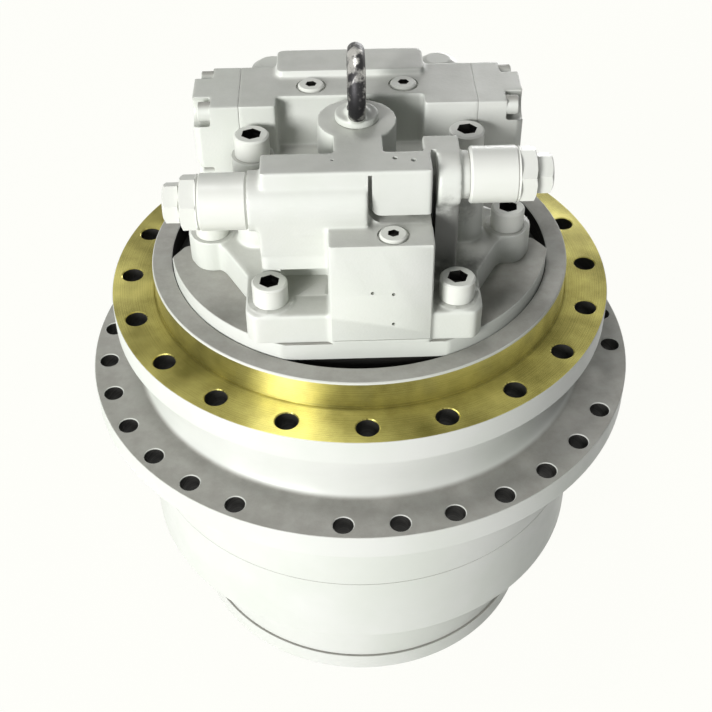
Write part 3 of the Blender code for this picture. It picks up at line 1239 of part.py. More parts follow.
def end_cap(name, side):
    start = REAR_BLOCK_HALF_LENGTH + SEAT
    end = start + END_CAP_LENGTH
    bevel = end - END_CAP_BEVEL
    block = [
        (side * start, REAR_BLOCK_FRONT), (side * bevel, REAR_BLOCK_FRONT),
        (side * end, REAR_BLOCK_FRONT + END_CAP_BEVEL), (side * end, REAR_BLOCK_BACK - END_CAP_BEVEL),
        (side * bevel, REAR_BLOCK_BACK), (side * start, REAR_BLOCK_BACK),
    ]
    cap = prism(name, [block], REAR_BLOCK_Z, BAR_TOP_Z)
    cut(cap, along_x(
        f"{name}_bore", clear_bore(SPOOL_RADIUS, SHAFT_SIDES), start - OVERRUN, start + END_CAP_BORE_DEPTH,
        SHAFT_SIDES, (0, SPOOL_Y, SPOOL_Z), side
    ))
    for row, y in enumerate((REAR_BLOCK_FRONT + END_CAP_NOTCH_INSET, REAR_BLOCK_BACK - END_CAP_NOTCH_INSET)):
        for level, z in enumerate((REAR_BLOCK_Z + END_CAP_NOTCH_INSET, BAR_TOP_Z - END_CAP_NOTCH_INSET)):
            cut(cap, along_x(
                f"{name}_notch_{row}{level}", END_CAP_NOTCH_RADIUS, end - END_CAP_NOTCH_DEPTH, end + OVERRUN,
                HOLE_SIDES, (0, y, z), side
            ))
    return cap


# The whole drive

finish(spindle(), GOLD_FILM)
finish(hub(), GREY_PAINT)
bearing("lower", LOWER_BEARING_Z)
bearing("upper", UPPER_BEARING_Z)
finish(bearing_nut(), GROUND_STEEL)
floating_seal()
finish(second_ring_gear(), GREY_PAINT)
finish(first_ring_gear(), GREY_PAINT)
finish(end_cover(), GREY_PAINT)
for plug_name, plug_angle in zip(("fill_plug", "level_plug", "drain_plug"), OIL_PLUG_ANGLES):
    finish(oil_plug(plug_name, plug_angle), WORN_STEEL)

finish(first_carrier(), CAST_IRON)
finish(second_carrier(), CAST_IRON)
for number, place in enumerate(FIRST_PLANET_ANGLES, start=1):
    finish(first_planet(number, place), GEAR_STEEL)
for number, place in enumerate(SECOND_PLANET_ANGLES, start=1):
    finish(second_planet(number, place), GEAR_STEEL)
finish(first_sun_gear(), GEAR_STEEL)
finish(second_sun_gear(), GEAR_STEEL)

finish(motor_casing(), GREY_PAINT)
finish(shaft_seal(), WORN_STEEL)
finish(lower_shaft_bearing(), GROUND_STEEL)
finish(upper_shaft_bearing(), GROUND_STEEL)
finish(drive_shaft(), GROUND_STEEL)

finish(motor_cover(), GREY_PAINT)
for valve_name, (side, start, y, z) in VALVE_PLACES.items():
    relief_valve(valve_name, side, start, y, z)
for screw_name, (x, y) in COVER_SCREW_PLACES.items():
    finish(cap_screw(f"cover_screw_{screw_name}", x, y, PLATE_TOP_Z, SCREW_GRIP), GREY_PAINT)
for screw_name, (x, y) in TALL_SCREW_PLACES.items():
    top = PLATE_TOP_Z + TALL_BOSS_HEIGHT
    finish(cap_screw(f"boss_screw_{screw_name}", x, y, top, TALL_SCREW_GRIP), GREY_PAINT)
for plug_name, (x, y, z) in PLUG_PLACES.items():
    finish(socket_plug(plug_name, x, y, z), GREY_PAINT)
for cap_name, side in (("left", -1), ("right", 1)):
    finish(port_cap(f"port_cap_{cap_name}", side), GREY_PAINT)
    finish(end_cap(f"spool_end_cap_{cap_name}", side), GREY_PAINT)
finish(spool(), GROUND_STEEL)
finish(eye_bolt(), WORN_STEEL)
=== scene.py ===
"""Looks of an excavator's final drive: a painted travel gearbox and its motor, on its end cover."""
import math

import bmesh
import bpy
from mathutils import Matrix, Vector


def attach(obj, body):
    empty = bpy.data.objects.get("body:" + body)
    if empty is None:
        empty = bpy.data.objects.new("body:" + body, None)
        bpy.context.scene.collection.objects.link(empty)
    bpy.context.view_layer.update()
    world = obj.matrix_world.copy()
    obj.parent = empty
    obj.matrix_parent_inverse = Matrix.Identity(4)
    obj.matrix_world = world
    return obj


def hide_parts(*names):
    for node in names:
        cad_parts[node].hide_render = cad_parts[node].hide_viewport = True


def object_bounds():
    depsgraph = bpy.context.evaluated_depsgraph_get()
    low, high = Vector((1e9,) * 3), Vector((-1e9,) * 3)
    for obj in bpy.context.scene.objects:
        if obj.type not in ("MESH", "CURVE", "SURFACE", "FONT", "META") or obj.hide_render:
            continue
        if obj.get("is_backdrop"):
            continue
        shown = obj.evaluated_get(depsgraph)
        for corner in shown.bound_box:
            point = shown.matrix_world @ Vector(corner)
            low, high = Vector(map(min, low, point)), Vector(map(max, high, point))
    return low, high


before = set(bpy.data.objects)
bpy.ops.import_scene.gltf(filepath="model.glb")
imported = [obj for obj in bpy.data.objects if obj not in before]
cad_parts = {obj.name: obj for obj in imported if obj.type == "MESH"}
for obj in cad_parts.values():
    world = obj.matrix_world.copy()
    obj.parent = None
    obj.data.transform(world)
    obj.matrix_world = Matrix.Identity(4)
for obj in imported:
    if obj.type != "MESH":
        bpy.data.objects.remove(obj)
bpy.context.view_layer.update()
scene = bpy.context.scene


# Camera: held above and in front of the drive, looking down on the motor.
# It has the photograph's place, lens and slight lean.
MM = 0.001
EYE = (-26.55, -1020.65, 1201.83)
AIM = (-4.60, 0.12, 309.05)
LEAN = math.radians(-0.718)
LENS_LENGTH = 60.68
SENSOR_WIDTH = 36
eye = Vector(EYE) * MM
sight = (Vector(AIM) * MM - eye).normalized()
level = sight.cross(Vector((0, 0, 1))).normalized()
upright = level.cross(sight)
camera_right = level * math.cos(LEAN) + upright * math.sin(LEAN)
camera_up = upright * math.cos(LEAN) - level * math.sin(LEAN)
camera_data = bpy.data.cameras.new("camera")
camera_data.lens = LENS_LENGTH
camera_data.sensor_width = SENSOR_WIDTH
camera = bpy.data.objects.new("camera", camera_data)
scene.collection.objects.link(camera)
camera.matrix_world = (
    Matrix.Translation(eye) @ Matrix((camera_right, camera_up, -sight)).transposed().to_4x4()
)
scene.camera = camera


# Spindle: one forging, turned all over, that bolts to the track frame with its big flange.
# The flange's face and the spigot's wall are left bare under a gold anti-rust film,
# and the rim and the spigot's top are painted with the rest.
FINE_SIDES = 160
SMALL_SIDES = 40
SHARP_EDGE = 32
TURN_TO_AXIS = {"X": ("Y", 90), "-X": ("Y", -90), "Y": ("X", -90), "-Y": ("X", 90)}


def eased(outline, steps=4):
    """Rounds the corners of a flat outline of (x, y, corner radius) points."""
    points = []
    for i, (x, y, radius) in enumerate(outline):
        here = Vector((x, y))
        if radius == 0:
            points.append(here)
            continue
        before = Vector(outline[i - 1][:2]) - here
        after = Vector(outline[(i + 1) % len(outline)][:2]) - here
        reach = radius / math.tan(before.angle(after) / 2)
        reach = min(reach, before.length * 0.49, after.length * 0.49)
        start = here + before.normalized() * reach
        end = here + after.normalized() * reach
        for step in range(steps + 1):
            t = step / steps
            points.append(start * (1 - t) ** 2 + here * 2 * t * (1 - t) + end * t * t)
    return points


def new_piece(name, shape):
    """An object from a bmesh, with its faces turned outwards."""
    bmesh.ops.recalc_face_normals(shape, faces=shape.faces)
    mesh = bpy.data.meshes.new(name)
    shape.to_mesh(mesh)
    shape.free()
    piece = bpy.data.objects.new(name, mesh)
    scene.collection.objects.link(piece)
    return piece


def turned(name, profile, sides=FINE_SIDES, axis="Z", at=(0, 0, 0), corner_steps=3):
    """A profile of (radius, height, corner radius) in millimetres, turned about an axis through at.
    A profile that starts and ends on the axis makes a solid, and any other one a ring."""
    outline = eased(profile, corner_steps)
    solid = profile[0][0] == 0 and profile[-1][0] == 0
    shape = bmesh.new()
    rings = []
    for point in outline:
        turns = 1 if point.x < 1e-6 else sides
        rings.append([
            shape.verts.new((
                point.x * MM * math.cos(2 * math.pi * i / sides),
                point.x * MM * math.sin(2 * math.pi * i / sides), point.y * MM
            )) for i in range(turns)
        ])
    following = rings[1:] if solid else rings[1:] + rings[:1]
    for low, high in zip(rings, following):
        for i in range(sides):
            j = (i + 1) % sides
            corners = [low[i % len(low)], low[j % len(low)], high[j % len(high)], high[i % len(high)]]
            corners = list(dict.fromkeys(corners))
            if len(corners) > 2:
                shape.faces.new(corners)
    if axis in TURN_TO_AXIS:
        about, degrees = TURN_TO_AXIS[axis]
        turn = Matrix.Rotation(math.radians(degrees), 3, about)
        bmesh.ops.rotate(shape, verts=shape.verts, matrix=turn)
    bmesh.ops.translate(shape, verts=shape.verts, vec=Vector(at) * MM)
    return new_piece(name, shape)


def bored(name, radius, low, high, break_edge=1.0, sides=SMALL_SIDES, axis="Z", at=(0, 0, 0)):
    """A drill that passes low and high and breaks the edges there."""
    wide = radius + break_edge
    below = low - 3
    above = high + 3
    return turned(name, [
        (0, below, 0), (wide, below, 0), (wide, low, 0), (radius, low + break_edge, 0),
        (radius, high - break_edge, 0), (wide, high, 0), (wide, above, 0), (0, above, 0),
    ], sides, axis, at)


def plain(piece):
    """Leaves the piece as the mesh that its modifiers make."""
    bpy.context.view_layer.update()
    made = bpy.data.meshes.new_from_object(piece.evaluated_get(bpy.context.evaluated_depsgraph_get()))
    piece.modifiers.clear()
    piece.data = made
    return piece


def merged(name, pieces):
    """One object that holds the meshes of several."""
    shape = bmesh.new()
    for piece in pieces:
        shape.from_mesh(piece.data)
        bpy.data.objects.remove(piece)
    return new_piece(name, shape)


def carved(piece, tools, operation="DIFFERENCE"):
    """Takes tools that don't touch each other out of the piece, or keeps only what they hold."""
    tool = merged("tool", tools)
    step = piece.modifiers.new("carve", "BOOLEAN")
    step.operation = operation
    step.solver = "MANIFOLD"
    step.object = tool
    plain(piece)
    bpy.data.objects.remove(tool)
    return piece


def ring_of(radius, count, start=0.0, skipped=0):
    """Places round the axis from start, in degrees, without the first of every skipped ones."""
    places = []
    for i in range(count):
        if skipped and i % skipped == 0:
            continue
        angle = math.radians(start) + 2 * math.pi * i / count
        places.append((radius * math.cos(angle), radius * math.sin(angle)))
    return places


def smoothed(piece, sharp=SHARP_EDGE):
    """Smooth faces, with a sharp edge wherever they turn by more than sharp degrees."""
    piece.data.shade_smooth()
    piece.data.set_sharp_from_angle(angle=math.radians(sharp))
    return piece


def shaded(piece):
    """Smooth faces between the sharp edges, with the flat faces kept flat."""
    smoothed(piece)
    even = piece.modifiers.new("even", "WEIGHTED_NORMAL")
    even.keep_sharp = True
    return plain(piece)


def coated(piece, *looks):
    """Gives the piece its materials in place of any that carving left."""
    piece.data.materials.clear()
    for look in looks:
        piece.data.materials.append(look)
    return piece


def coated_by_face(piece, looks, chosen):
    """Gives the piece its materials, and each face the one that chosen returns for its middle
    in millimetres, its distance from the drive's axis and its direction."""
    coated(piece, *looks)
    for face in piece.data.polygons:
        middle = face.center / MM
        look = chosen(middle, math.hypot(middle.x, middle.y), face.normal)
        face.material_index = looks.index(look)
    return piece


def fitted(piece, body, slot, *nodes):
    """Puts the piece on its body and hides the nodes that it stands for. The slot is not used."""
    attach(piece, body)
    if nodes:
        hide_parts(*nodes)
    return piece


def put(tree, kind, inputs=None, **settings):
    """A node with its settings, its fixed values and its links."""
    made = tree.nodes.new(kind)
    for key, value in settings.items():
        setattr(made, key, value)
    for key, value in (inputs or {}).items():
        if isinstance(value, bpy.types.NodeSocket):
            tree.links.new(value, made.inputs[key])
        else:
            made.inputs[key].default_value = value
    return made


def group_tree(name, ins, outs):
    """A shader group with named sockets: ins are (name, kind, value), outs are (name, kind)."""
    tree = bpy.data.node_groups.new(name, "ShaderNodeTree")
    for label, kind, value in ins:
        socket = tree.interface.new_socket(label, in_out="INPUT", socket_type=kind)
        socket.default_value = value
    for label, kind in outs:
        tree.interface.new_socket(label, in_out="OUTPUT", socket_type=kind)
    return tree, tree.nodes.new("NodeGroupInput").outputs, tree.nodes.new("NodeGroupOutput")


def noise(tree, coordinates, scale, detail=3.0, roughness=0.55):
    """A cloudy value between 0 and 1."""
    return put(tree, "ShaderNodeTexNoise", {
        "Vector": coordinates, "Scale": scale, "Detail": detail, "Roughness": roughness
    }).outputs["Fac"]


def ramp(tree, value, low, high, to_low=0.0, to_high=1.0):
    """A value between low and high, spread smoothly from to_low to to_high."""
    return put(tree, "ShaderNodeMapRange", {
        "Value": value, "From Min": low, "From Max": high, "To Min": to_low, "To Max": to_high
    }, interpolation_type="SMOOTHSTEP").outputs["Result"]


def computed(tree, operation, first, second):
    """One step of arithmetic."""
    return put(tree, "ShaderNodeMath", {0: first, 1: second}, operation=operation).outputs[0]


def blended(tree, share, first, second, kind="MIX"):
    """The first colour with a share of the second."""
    made = tree.nodes.new("ShaderNodeMix")
    made.data_type = "RGBA"
    made.blend_type = kind
    for key, value in ((0, share), (6, first), (7, second)):
        if isinstance(value, bpy.types.NodeSocket):
            tree.links.new(value, made.inputs[key])
        else:
            made.inputs[key].default_value = value
    return made.outputs[2]


def tool_marks_group():
    """Fine rings that a lathe leaves, along the radius on a face and along the axis on a wall."""
    tree, given, out = group_tree(
        "tool_marks", [("Lines", "NodeSocketFloat", 900.0)],
        [("Tone", "NodeSocketFloat"), ("Height", "NodeSocketFloat")]
    )
    place = put(tree, "ShaderNodeTexCoord").outputs["Object"]
    axes = put(tree, "ShaderNodeSeparateXYZ", {0: place}).outputs
    flat = put(tree, "ShaderNodeCombineXYZ", {0: axes[0], 1: axes[1]}).outputs[0]
    radius = put(tree, "ShaderNodeVectorMath", {0: flat}, operation="LENGTH").outputs["Value"]
    along = computed(tree, "ADD", radius, axes[2])
    lines = put(tree, "ShaderNodeTexNoise", {
        "W": computed(tree, "MULTIPLY", along, given["Lines"]), "Scale": 1.0, "Detail": 3.0, "Roughness": 0.7
    }, noise_dimensions="1D").outputs["Fac"]
    cloud = noise(tree, place, 14.0, 4.0)
    tree.links.new(ramp(tree, computed(tree, "ADD", lines, cloud), 0.7, 1.35), out.inputs["Tone"])
    tree.links.new(lines, out.inputs["Height"])
    return tree


TOOL_MARKS = tool_marks_group()


def new_look(name):
    """A material, its tree and its shader."""
    material = bpy.data.materials.new(name)
    material.use_nodes = True
    return material, material.node_tree, material.node_tree.nodes["Principled BSDF"]


def bumped(tree, shader, height, distance):
    """Gives the shader a relief of the distance, in metres."""
    bump = put(tree, "ShaderNodeBump", {"Height": height, "Distance": distance})
    tree.links.new(bump.outputs["Normal"], shader.inputs["Normal"])


def steel_like(name, dark, light, roughness, spread, lines, distance, metallic=1.0, anisotropic=0.0):
    """Turned or ground metal: two tones and a roughness that follow the tool marks.
    Lines is how many marks there are to a metre, and distance how deep they are."""
    material, tree, shader = new_look(name)
    shader.inputs["Metallic"].default_value = metallic
    shader.inputs["Anisotropic"].default_value = anisotropic
    marks = put(tree, "ShaderNodeGroup", node_tree=TOOL_MARKS)
    marks.inputs["Lines"].default_value = lines
    tree.links.new(blended(tree, marks.outputs["Tone"], dark, light), shader.inputs["Base Color"])
    tree.links.new(
        ramp(tree, marks.outputs["Tone"], 0.0, 1.0, roughness + spread, roughness),
        shader.inputs["Roughness"]
    )
    bumped(tree, shader, marks.outputs["Height"], distance)
    if anisotropic:
        tangent = put(tree, "ShaderNodeTangent", direction_type="RADIAL", axis="Z")
        tree.links.new(tangent.outputs["Tangent"], shader.inputs["Tangent"])
        shader.inputs["Anisotropic Rotation"].default_value = 0.25
    return material


# The colour of dust, which also serves as painted shade on faces that look up.
DUST_AND_TOP_SHADE = (0.23, 0.222, 0.197, 1)
THIN_COAT = (0.93, 0.95, 0.92, 1)


def paint_film_group():
    """Enamel over a grain: it drifts in tone, wrinkles a little, and darkens with dust and painted shade
    where it looks up.
    """
    tree, given, out = group_tree(
        "paint_film",
        [
            ("Colour", "NodeSocketColor", (0.6, 0.6, 0.6, 1)), ("Grain", "NodeSocketFloat", 500.0),
            ("Dust And Top Shade", "NodeSocketFloat", 0.3), ("Gloss", "NodeSocketFloat", 0.4),
        ],
        [("Colour", "NodeSocketColor"), ("Roughness", "NodeSocketFloat"), ("Height", "NodeSocketFloat")]
    )
    place = put(tree, "ShaderNodeTexCoord").outputs["Object"]
    drift = noise(tree, place, 7.0, 4.0)
    patches = noise(tree, place, 55.0, 5.0, 0.65)
    grain = noise(tree, place, given["Grain"], 4.0, 0.6)
    peel = noise(tree, place, 260.0, 1.0)
    thin = ramp(tree, drift, 0.35, 0.65)
    toned = blended(tree, thin, given["Colour"], THIN_COAT, "MULTIPLY")
    normal = put(tree, "ShaderNodeNewGeometry").outputs["Normal"]
    # Faces that look up are darkened: dust, and painted shade for tops that get less light.
    upward = ramp(tree, put(tree, "ShaderNodeSeparateXYZ", {0: normal}).outputs[2], 0.55, 0.98)
    lying = computed(tree, "MULTIPLY", upward, ramp(tree, patches, 0.25, 0.75, 0.82, 1.0))
    dust_and_shade = computed(tree, "MULTIPLY", lying, given["Dust And Top Shade"])
    tree.links.new(blended(tree, dust_and_shade, toned, DUST_AND_TOP_SHADE), out.inputs["Colour"])
    rough = computed(tree, "ADD", given["Gloss"], ramp(tree, patches, 0.3, 0.7, -0.05, 0.07))
    dulled = computed(tree, "MULTIPLY", dust_and_shade, 0.25)
    tree.links.new(computed(tree, "ADD", rough, dulled), out.inputs["Roughness"])
    fine = computed(tree, "MULTIPLY", grain, 0.5)
    soft = computed(tree, "MULTIPLY", peel, 0.5)
    tree.links.new(computed(tree, "ADD", fine, soft), out.inputs["Height"])
    return tree


PAINT_FILM = paint_film_group()


def painted(name, colour, grain, grain_depth, dust_and_top_shade=0.35, roughness=0.42):
    """Two-pack enamel with its own colour, gloss, and dust with painted shade where it looks up. The casting
    or the turned face under it shows as a fine grain, so many to a metre and so many metres deep."""
    material, tree, shader = new_look(name)
    film = put(tree, "ShaderNodeGroup", node_tree=PAINT_FILM)
    film.inputs["Colour"].default_value = colour
    film.inputs["Grain"].default_value = grain
    film.inputs["Dust And Top Shade"].default_value = dust_and_top_shade
    film.inputs["Gloss"].default_value = roughness
    tree.links.new(film.outputs["Colour"], shader.inputs["Base Color"])
    tree.links.new(film.outputs["Roughness"], shader.inputs["Roughness"])
    bumped(tree, shader, film.outputs["Height"], grain_depth)
    return material


GREY = (0.60, 0.61, 0.575, 1)
# The turned faces take the most dust and painted shade on their tops.
turned_paint = painted("turned_paint", GREY, 900.0, 0.00006, 0.9)
fitting_paint = painted("fitting_paint", (0.66, 0.665, 0.625, 1), 900.0, 0.00004, 0.15, 0.34)
gold_film = steel_like(
    "gold_film", (0.16, 0.142, 0.036, 1), (0.64, 0.58, 0.19, 1), 0.38, 0.10, 2600.0, 0.00002,
    anisotropic=0.92
)
ground_steel = steel_like(
    "ground_steel", (0.42, 0.42, 0.43, 1), (0.62, 0.62, 0.63, 1), 0.26, 0.12, 1800.0, 0.00002
)
# Near-black steel, used as painted shade in the deep gaps, the holes and the screws' sockets.
shade_black = steel_like(
    "shade_black", (0.010, 0.010, 0.009, 1), (0.030, 0.028, 0.025, 1), 0.42, 0.2, 300.0, 0.0001, 0.3
)

FLANGE_RADIUS = 260
FLANGE_FOOT = 404
FLANGE_TOP = 432
SPIGOT_RADIUS = 215
SPIGOT_BORE = 194
SPIGOT_TOP = 464
LEDGE_TOP = 440
FRAME_HOLE_CIRCLE = 240
FRAME_HOLES = ring_of(FRAME_HOLE_CIRCLE, 20)
COVER_SCREWS = [(-86, -150.6), (86, -150.6), (-146, -40), (146, -40), (-112, 133), (112, 133)]
spindle = turned("spindle_forging", [
    (SPIGOT_BORE, SPIGOT_TOP, 1.6), (SPIGOT_RADIUS, SPIGOT_TOP, 2.6), (SPIGOT_RADIUS, 434.6, 0.4),
    (213.6, 433.4, 0.4), (213.6, 431.2, 0.4), (216.2, 431.2, 0.4), (217, FLANGE_TOP, 0.4),
    (FLANGE_RADIUS, FLANGE_TOP, 1.4), (FLANGE_RADIUS, FLANGE_FOOT, 1.4), (196, FLANGE_FOOT, 0.6),
    (196, 360.9, 0.6), (165, 360.9, 0.8), (165, 232, 2.5), (130.3, 232, 1.8), (130.3, 300, 0),
    (136.4, 300, 0), (136.4, LEDGE_TOP, 1.5), (SPIGOT_BORE, LEDGE_TOP, 1),
])
carved(spindle, [
    bored("frame_hole", 11, FLANGE_FOOT, FLANGE_TOP, 0.9, at=(x, y, 0)) for x, y in FRAME_HOLES
] + [
    bored("spindle_thread", 10.3, 418, LEDGE_TOP, 1.2, at=(x, y, 0)) for x, y in COVER_SCREWS
])
shaded(spindle)


def spindle_finish(middle, radius, _):
    """Film on the flange's face and the spigot's wall, and painted shade, near black, in the holes, on the
    ledge and on the bore above it.
    """
    if FLANGE_TOP - 1 < middle.z < SPIGOT_TOP - 2.8 and SPIGOT_RADIUS - 2 < radius < FLANGE_RADIUS - 0.6:
        return gold_film
    in_bore = radius < SPIGOT_BORE + 0.1
    in_hole = FLANGE_FOOT + 1 < middle.z < FLANGE_TOP - 1 and abs(radius - FRAME_HOLE_CIRCLE) < 12
    if in_hole or in_bore and middle.z > LEDGE_TOP - 1:
        return shade_black
    return ground_steel if in_bore or middle.z < FLANGE_FOOT + 0.5 else turned_paint


coated_by_face(spindle, [turned_paint, gold_film, ground_steel, shade_black], spindle_finish)
fitted(spindle, "frame_side", "gold_film", "spindle")


# Main bearings and floating seal: hardened races with their rollers in pressed bronze cages,
# a nut on the spindle's end, and two lapped seal rings in the neck. All are shut in.
bronze = steel_like("bronze", (0.36, 0.20, 0.075, 1), (0.62, 0.40, 0.18, 1), 0.30, 0.12, 900.0, 0.00003)
lapped_steel = steel_like(
    "lapped_steel", (0.50, 0.50, 0.51, 1), (0.66, 0.66, 0.66, 1), 0.14, 0.08, 4200.0, 0.000008
)


def dressed(look, *names):
    """Gives CAD nodes their finish."""
    for name in names:
        coated(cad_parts[name], look)


dressed(bronze, "lower_roller_cage", "upper_roller_cage")
dressed(lapped_steel, "lower_inner_race", "lower_outer_race", "upper_inner_race", "upper_outer_race")
dressed(lapped_steel, "seal_ring_fixed", "seal_ring_moving")
dressed(ground_steel, "bearing_nut")


# Hub: a casting turned outside, with the flange that carries the track sprocket.
# Its 28 holes leave a gap at each quarter, and the neck runs into the flange in a wide curve.
NECK_RADIUS = 235
NECK_TOP = 402
CURVE_WIDTH = 10
CURVE_HEIGHT = 24
CURVE_STEPS = 10
SPROCKET_FLANGE_RADIUS = 292
SPROCKET_FLANGE_FOOT = 310.5
SPROCKET_FLANGE_TOP = 338.5
BARREL_RADIUS = 246
SPROCKET_HOLE_CIRCLE = 276
SPROCKET_HOLES = ring_of(SPROCKET_HOLE_CIRCLE, 32, -16.36, 8)
neck_curve = []
for step in range(CURVE_STEPS + 1):
    turn = step / CURVE_STEPS * math.pi / 2
    neck_curve.append((
        NECK_RADIUS + CURVE_WIDTH - CURVE_WIDTH * math.cos(turn),
        SPROCKET_FLANGE_TOP + CURVE_HEIGHT * (1 - math.sin(turn)), 0
    ))
hub = turned("hub_casting", [
    (226.3, NECK_TOP, 0.8), (NECK_RADIUS, NECK_TOP, 1.4), *neck_curve,
    (SPROCKET_FLANGE_RADIUS, SPROCKET_FLANGE_TOP, 1.6), (SPROCKET_FLANGE_RADIUS, SPROCKET_FLANGE_FOOT, 1.6),
    (BARREL_RADIUS, SPROCKET_FLANGE_FOOT, 5), (BARREL_RADIUS, 211, 1.1), (214, 211, 0.8), (214, 252, 1),
    (205.3, 252, 0), (205.3, 290.3, 0), (196, 290.3, 1), (196, 322.3, 1), (205.3, 322.3, 0),
    (205.3, 372.3, 0), (226.3, 372.3, 2),
])
carved(hub, [
    bored("sprocket_hole", 10, SPROCKET_FLANGE_FOOT, SPROCKET_FLANGE_TOP, 0.8, at=(x, y, 0))
    for x, y in SPROCKET_HOLES
])
shaded(hub)


def hub_finish(middle, radius, _):
    """Paint, with painted shade, near black, in the holes."""
    in_flange = SPROCKET_FLANGE_FOOT + 1 < middle.z < SPROCKET_FLANGE_TOP - 1
    return shade_black if in_flange and abs(radius - SPROCKET_HOLE_CIRCLE) < 12 else turned_paint


coated_by_face(hub, [turned_paint, shade_black], hub_finish)
fitted(hub, "hub", "grey_paint", "hub_housing")


# Second stage: the ring gear is the drum under the hub, cut with 42 teeth inside.
# Its planets run on the carrier that the spindle holds still, round a sun on the first carrier.
PRESSURE_ANGLE = math.radians(20)
FLANK_POINTS = 5
PLANET_TEETH = 15
RING_TEETH = 42


def tooth_half_angle(radius, teeth, module, thinning):
    """Half the angle that an involute tooth fills at a radius."""
    pitch = module * teeth / 2
    pressure = math.acos(min(1, pitch * math.cos(PRESSURE_ANGLE) / radius))
    flank = math.tan(PRESSURE_ANGLE) - PRESSURE_ANGLE - math.tan(pressure) + pressure
    return math.pi / (2 * teeth) - thinning / (2 * pitch) + flank


def gear_outline(teeth, module, turn, inner, outer, thinning):
    """Teeth that reach inner modules inside the pitch circle and outer modules outside it."""
    root = module * (teeth / 2 - inner)
    tip = module * (teeth / 2 + outer)
    radii = [root + (tip - root) * i / (FLANK_POINTS - 1) for i in range(FLANK_POINTS)]
    outline = []
    for tooth in range(teeth):
        centre = turn + 2 * math.pi * tooth / teeth
        for side in (-1, 1):
            for radius in radii if side < 0 else radii[::-1]:
                angle = centre + side * tooth_half_angle(radius, teeth, module, thinning)
                outline.append((radius * math.cos(angle), radius * math.sin(angle)))
    return outline


def prism(name, outline, low, high):
    """A flat outline in millimetres, drawn up from low to high."""
    shape = bmesh.new()
    face = shape.faces.new([shape.verts.new((x * MM, y * MM, low * MM)) for x, y in outline])
    drawn = bmesh.ops.extrude_face_region(shape, geom=[face])["geom"]
    risen = [v for v in drawn if isinstance(v, bmesh.types.BMVert)]
    bmesh.ops.translate(shape, verts=risen, vec=(0, 0, (high - low) * MM))
    return new_piece(name, shape)


def ring_spaces(name, module, inner, thinning, low, high):
    """The tool that cuts a ring gear's spaces, turned so that one takes a planet's tooth on +X."""
    turn = (math.pi - 0.5 * 2 * math.pi / PLANET_TEETH) * PLANET_TEETH / RING_TEETH
    return prism(name, gear_outline(RING_TEETH, module, turn, inner, 1.1, thinning), low, high)


gear_steel = steel_like(
    "gear_steel", (0.20, 0.20, 0.205, 1), (0.42, 0.42, 0.42, 1), 0.30, 0.14, 700.0, 0.00003
)
gear_steel.node_tree.nodes["Principled BSDF"].inputs["Coat Weight"].default_value = 0.35
cast_iron = steel_like(
    "cast_iron", (0.10, 0.10, 0.105, 1), (0.19, 0.19, 0.19, 1), 0.55, 0.15, 160.0, 0.0002, 0.6
)
SECOND_DRUM_FOOT = 122.5
SINK_SIDES = 32
HUB_BOLTS = ring_of(231, 16, 11.25)
drum = turned("second_ring_drum", [
    (BARREL_RADIUS, 210.7, 1.1), (BARREL_RADIUS, SECOND_DRUM_FOOT, 3.5), (178, SECOND_DRUM_FOOT, 1),
    (178, 210.7, 0),
])
carved(drum, [
    bored("hub_bolt_sink", 12.5, SECOND_DRUM_FOOT, 134, 0.6, SINK_SIDES, at=(x, y, 0))
    for x, y in HUB_BOLTS
])
carved(drum, [ring_spaces("second_spaces", 10, 0.8, -0.9, 136, 214)])
shaded(drum)


def second_drum_finish(middle, radius, _):
    """Bare steel inside, where the teeth are."""
    return gear_steel if radius < 222 and middle.z > SECOND_DRUM_FOOT + 0.5 else turned_paint


coated_by_face(drum, [turned_paint, gear_steel], second_drum_finish)
fitted(drum, "hub", "grey_paint", "second_ring_gear")
dressed(gear_steel, "second_planet_1", "second_planet_2", "second_planet_3", "second_sun_gear")
dressed(cast_iron, "second_carrier")


# First stage: the smaller drum below, with its own 42 teeth, and a carrier with three planets
# round the sun that the motor's shaft turns.
drum = turned("first_ring_drum", [
    (200, 122.2, 0.8), (200, 23, 0.9), (159.6, 23, 0.8), (159.6, 122.2, 0.8),
])
carved(drum, [ring_spaces("first_spaces", 7.9, 0.82, -0.71, 20, 126)])
shaded(drum)
coated_by_face(
    drum, [turned_paint, gear_steel],
    lambda middle, radius, _: gear_steel if radius < 178 else turned_paint
)
fitted(drum, "hub", "grey_paint", "first_ring_gear")
dressed(gear_steel, "first_planet_1", "first_planet_2", "first_planet_3", "first_sun_gear")
dressed(cast_iron, "first_carrier")


# Drive shaft: ground steel, from the motor down to the first sun. It runs in two bearings,
# with a rubber lip seal above them. None of it shows.
seal_rubber = painted("seal_rubber", (0.035, 0.035, 0.037, 1), 700.0, 0.00005, 0.0, 0.55)
dressed(ground_steel, "drive_shaft")
dressed(lapped_steel, "lower_shaft_bearing", "upper_shaft_bearing")
dressed(seal_rubber, "shaft_seal")


# End cover: a turned plate that closes the gearbox and carries it here.
# Its 24 screws and its three oil plugs are sunk below the face that it stands on.
END_COVER_RADIUS = 202.5
COVER_BOLTS = ring_of(186, 24, 7.5)
OIL_PLUGS = ring_of(118, 4, 90)[:3]
cover = turned("end_cover_plate", [
    (0, 27.7, 0), (24, 27.7, 1), (24, 24.7, 0.5), (156, 24.7, 0.8), (156, 22.7, 0.3),
    (END_COVER_RADIUS, 22.7, 1), (END_COVER_RADIUS, 0, 2.2), (90, 0, 1), (86, 1.5, 1), (0, 1.5, 0),
])
carved(cover, [
    bored("cover_bolt_sink", 10.5, 0, 19, 0.8, SINK_SIDES, at=(x, y, 0)) for x, y in COVER_BOLTS
] + [
    bored("oil_plug_hole", 14.4, 0, 17, 1.0, SINK_SIDES, at=(x, y, 0)) for x, y in OIL_PLUGS
])
shaded(cover)
coated(cover, turned_paint)
fitted(cover, "hub", "grey_paint", "end_cover")


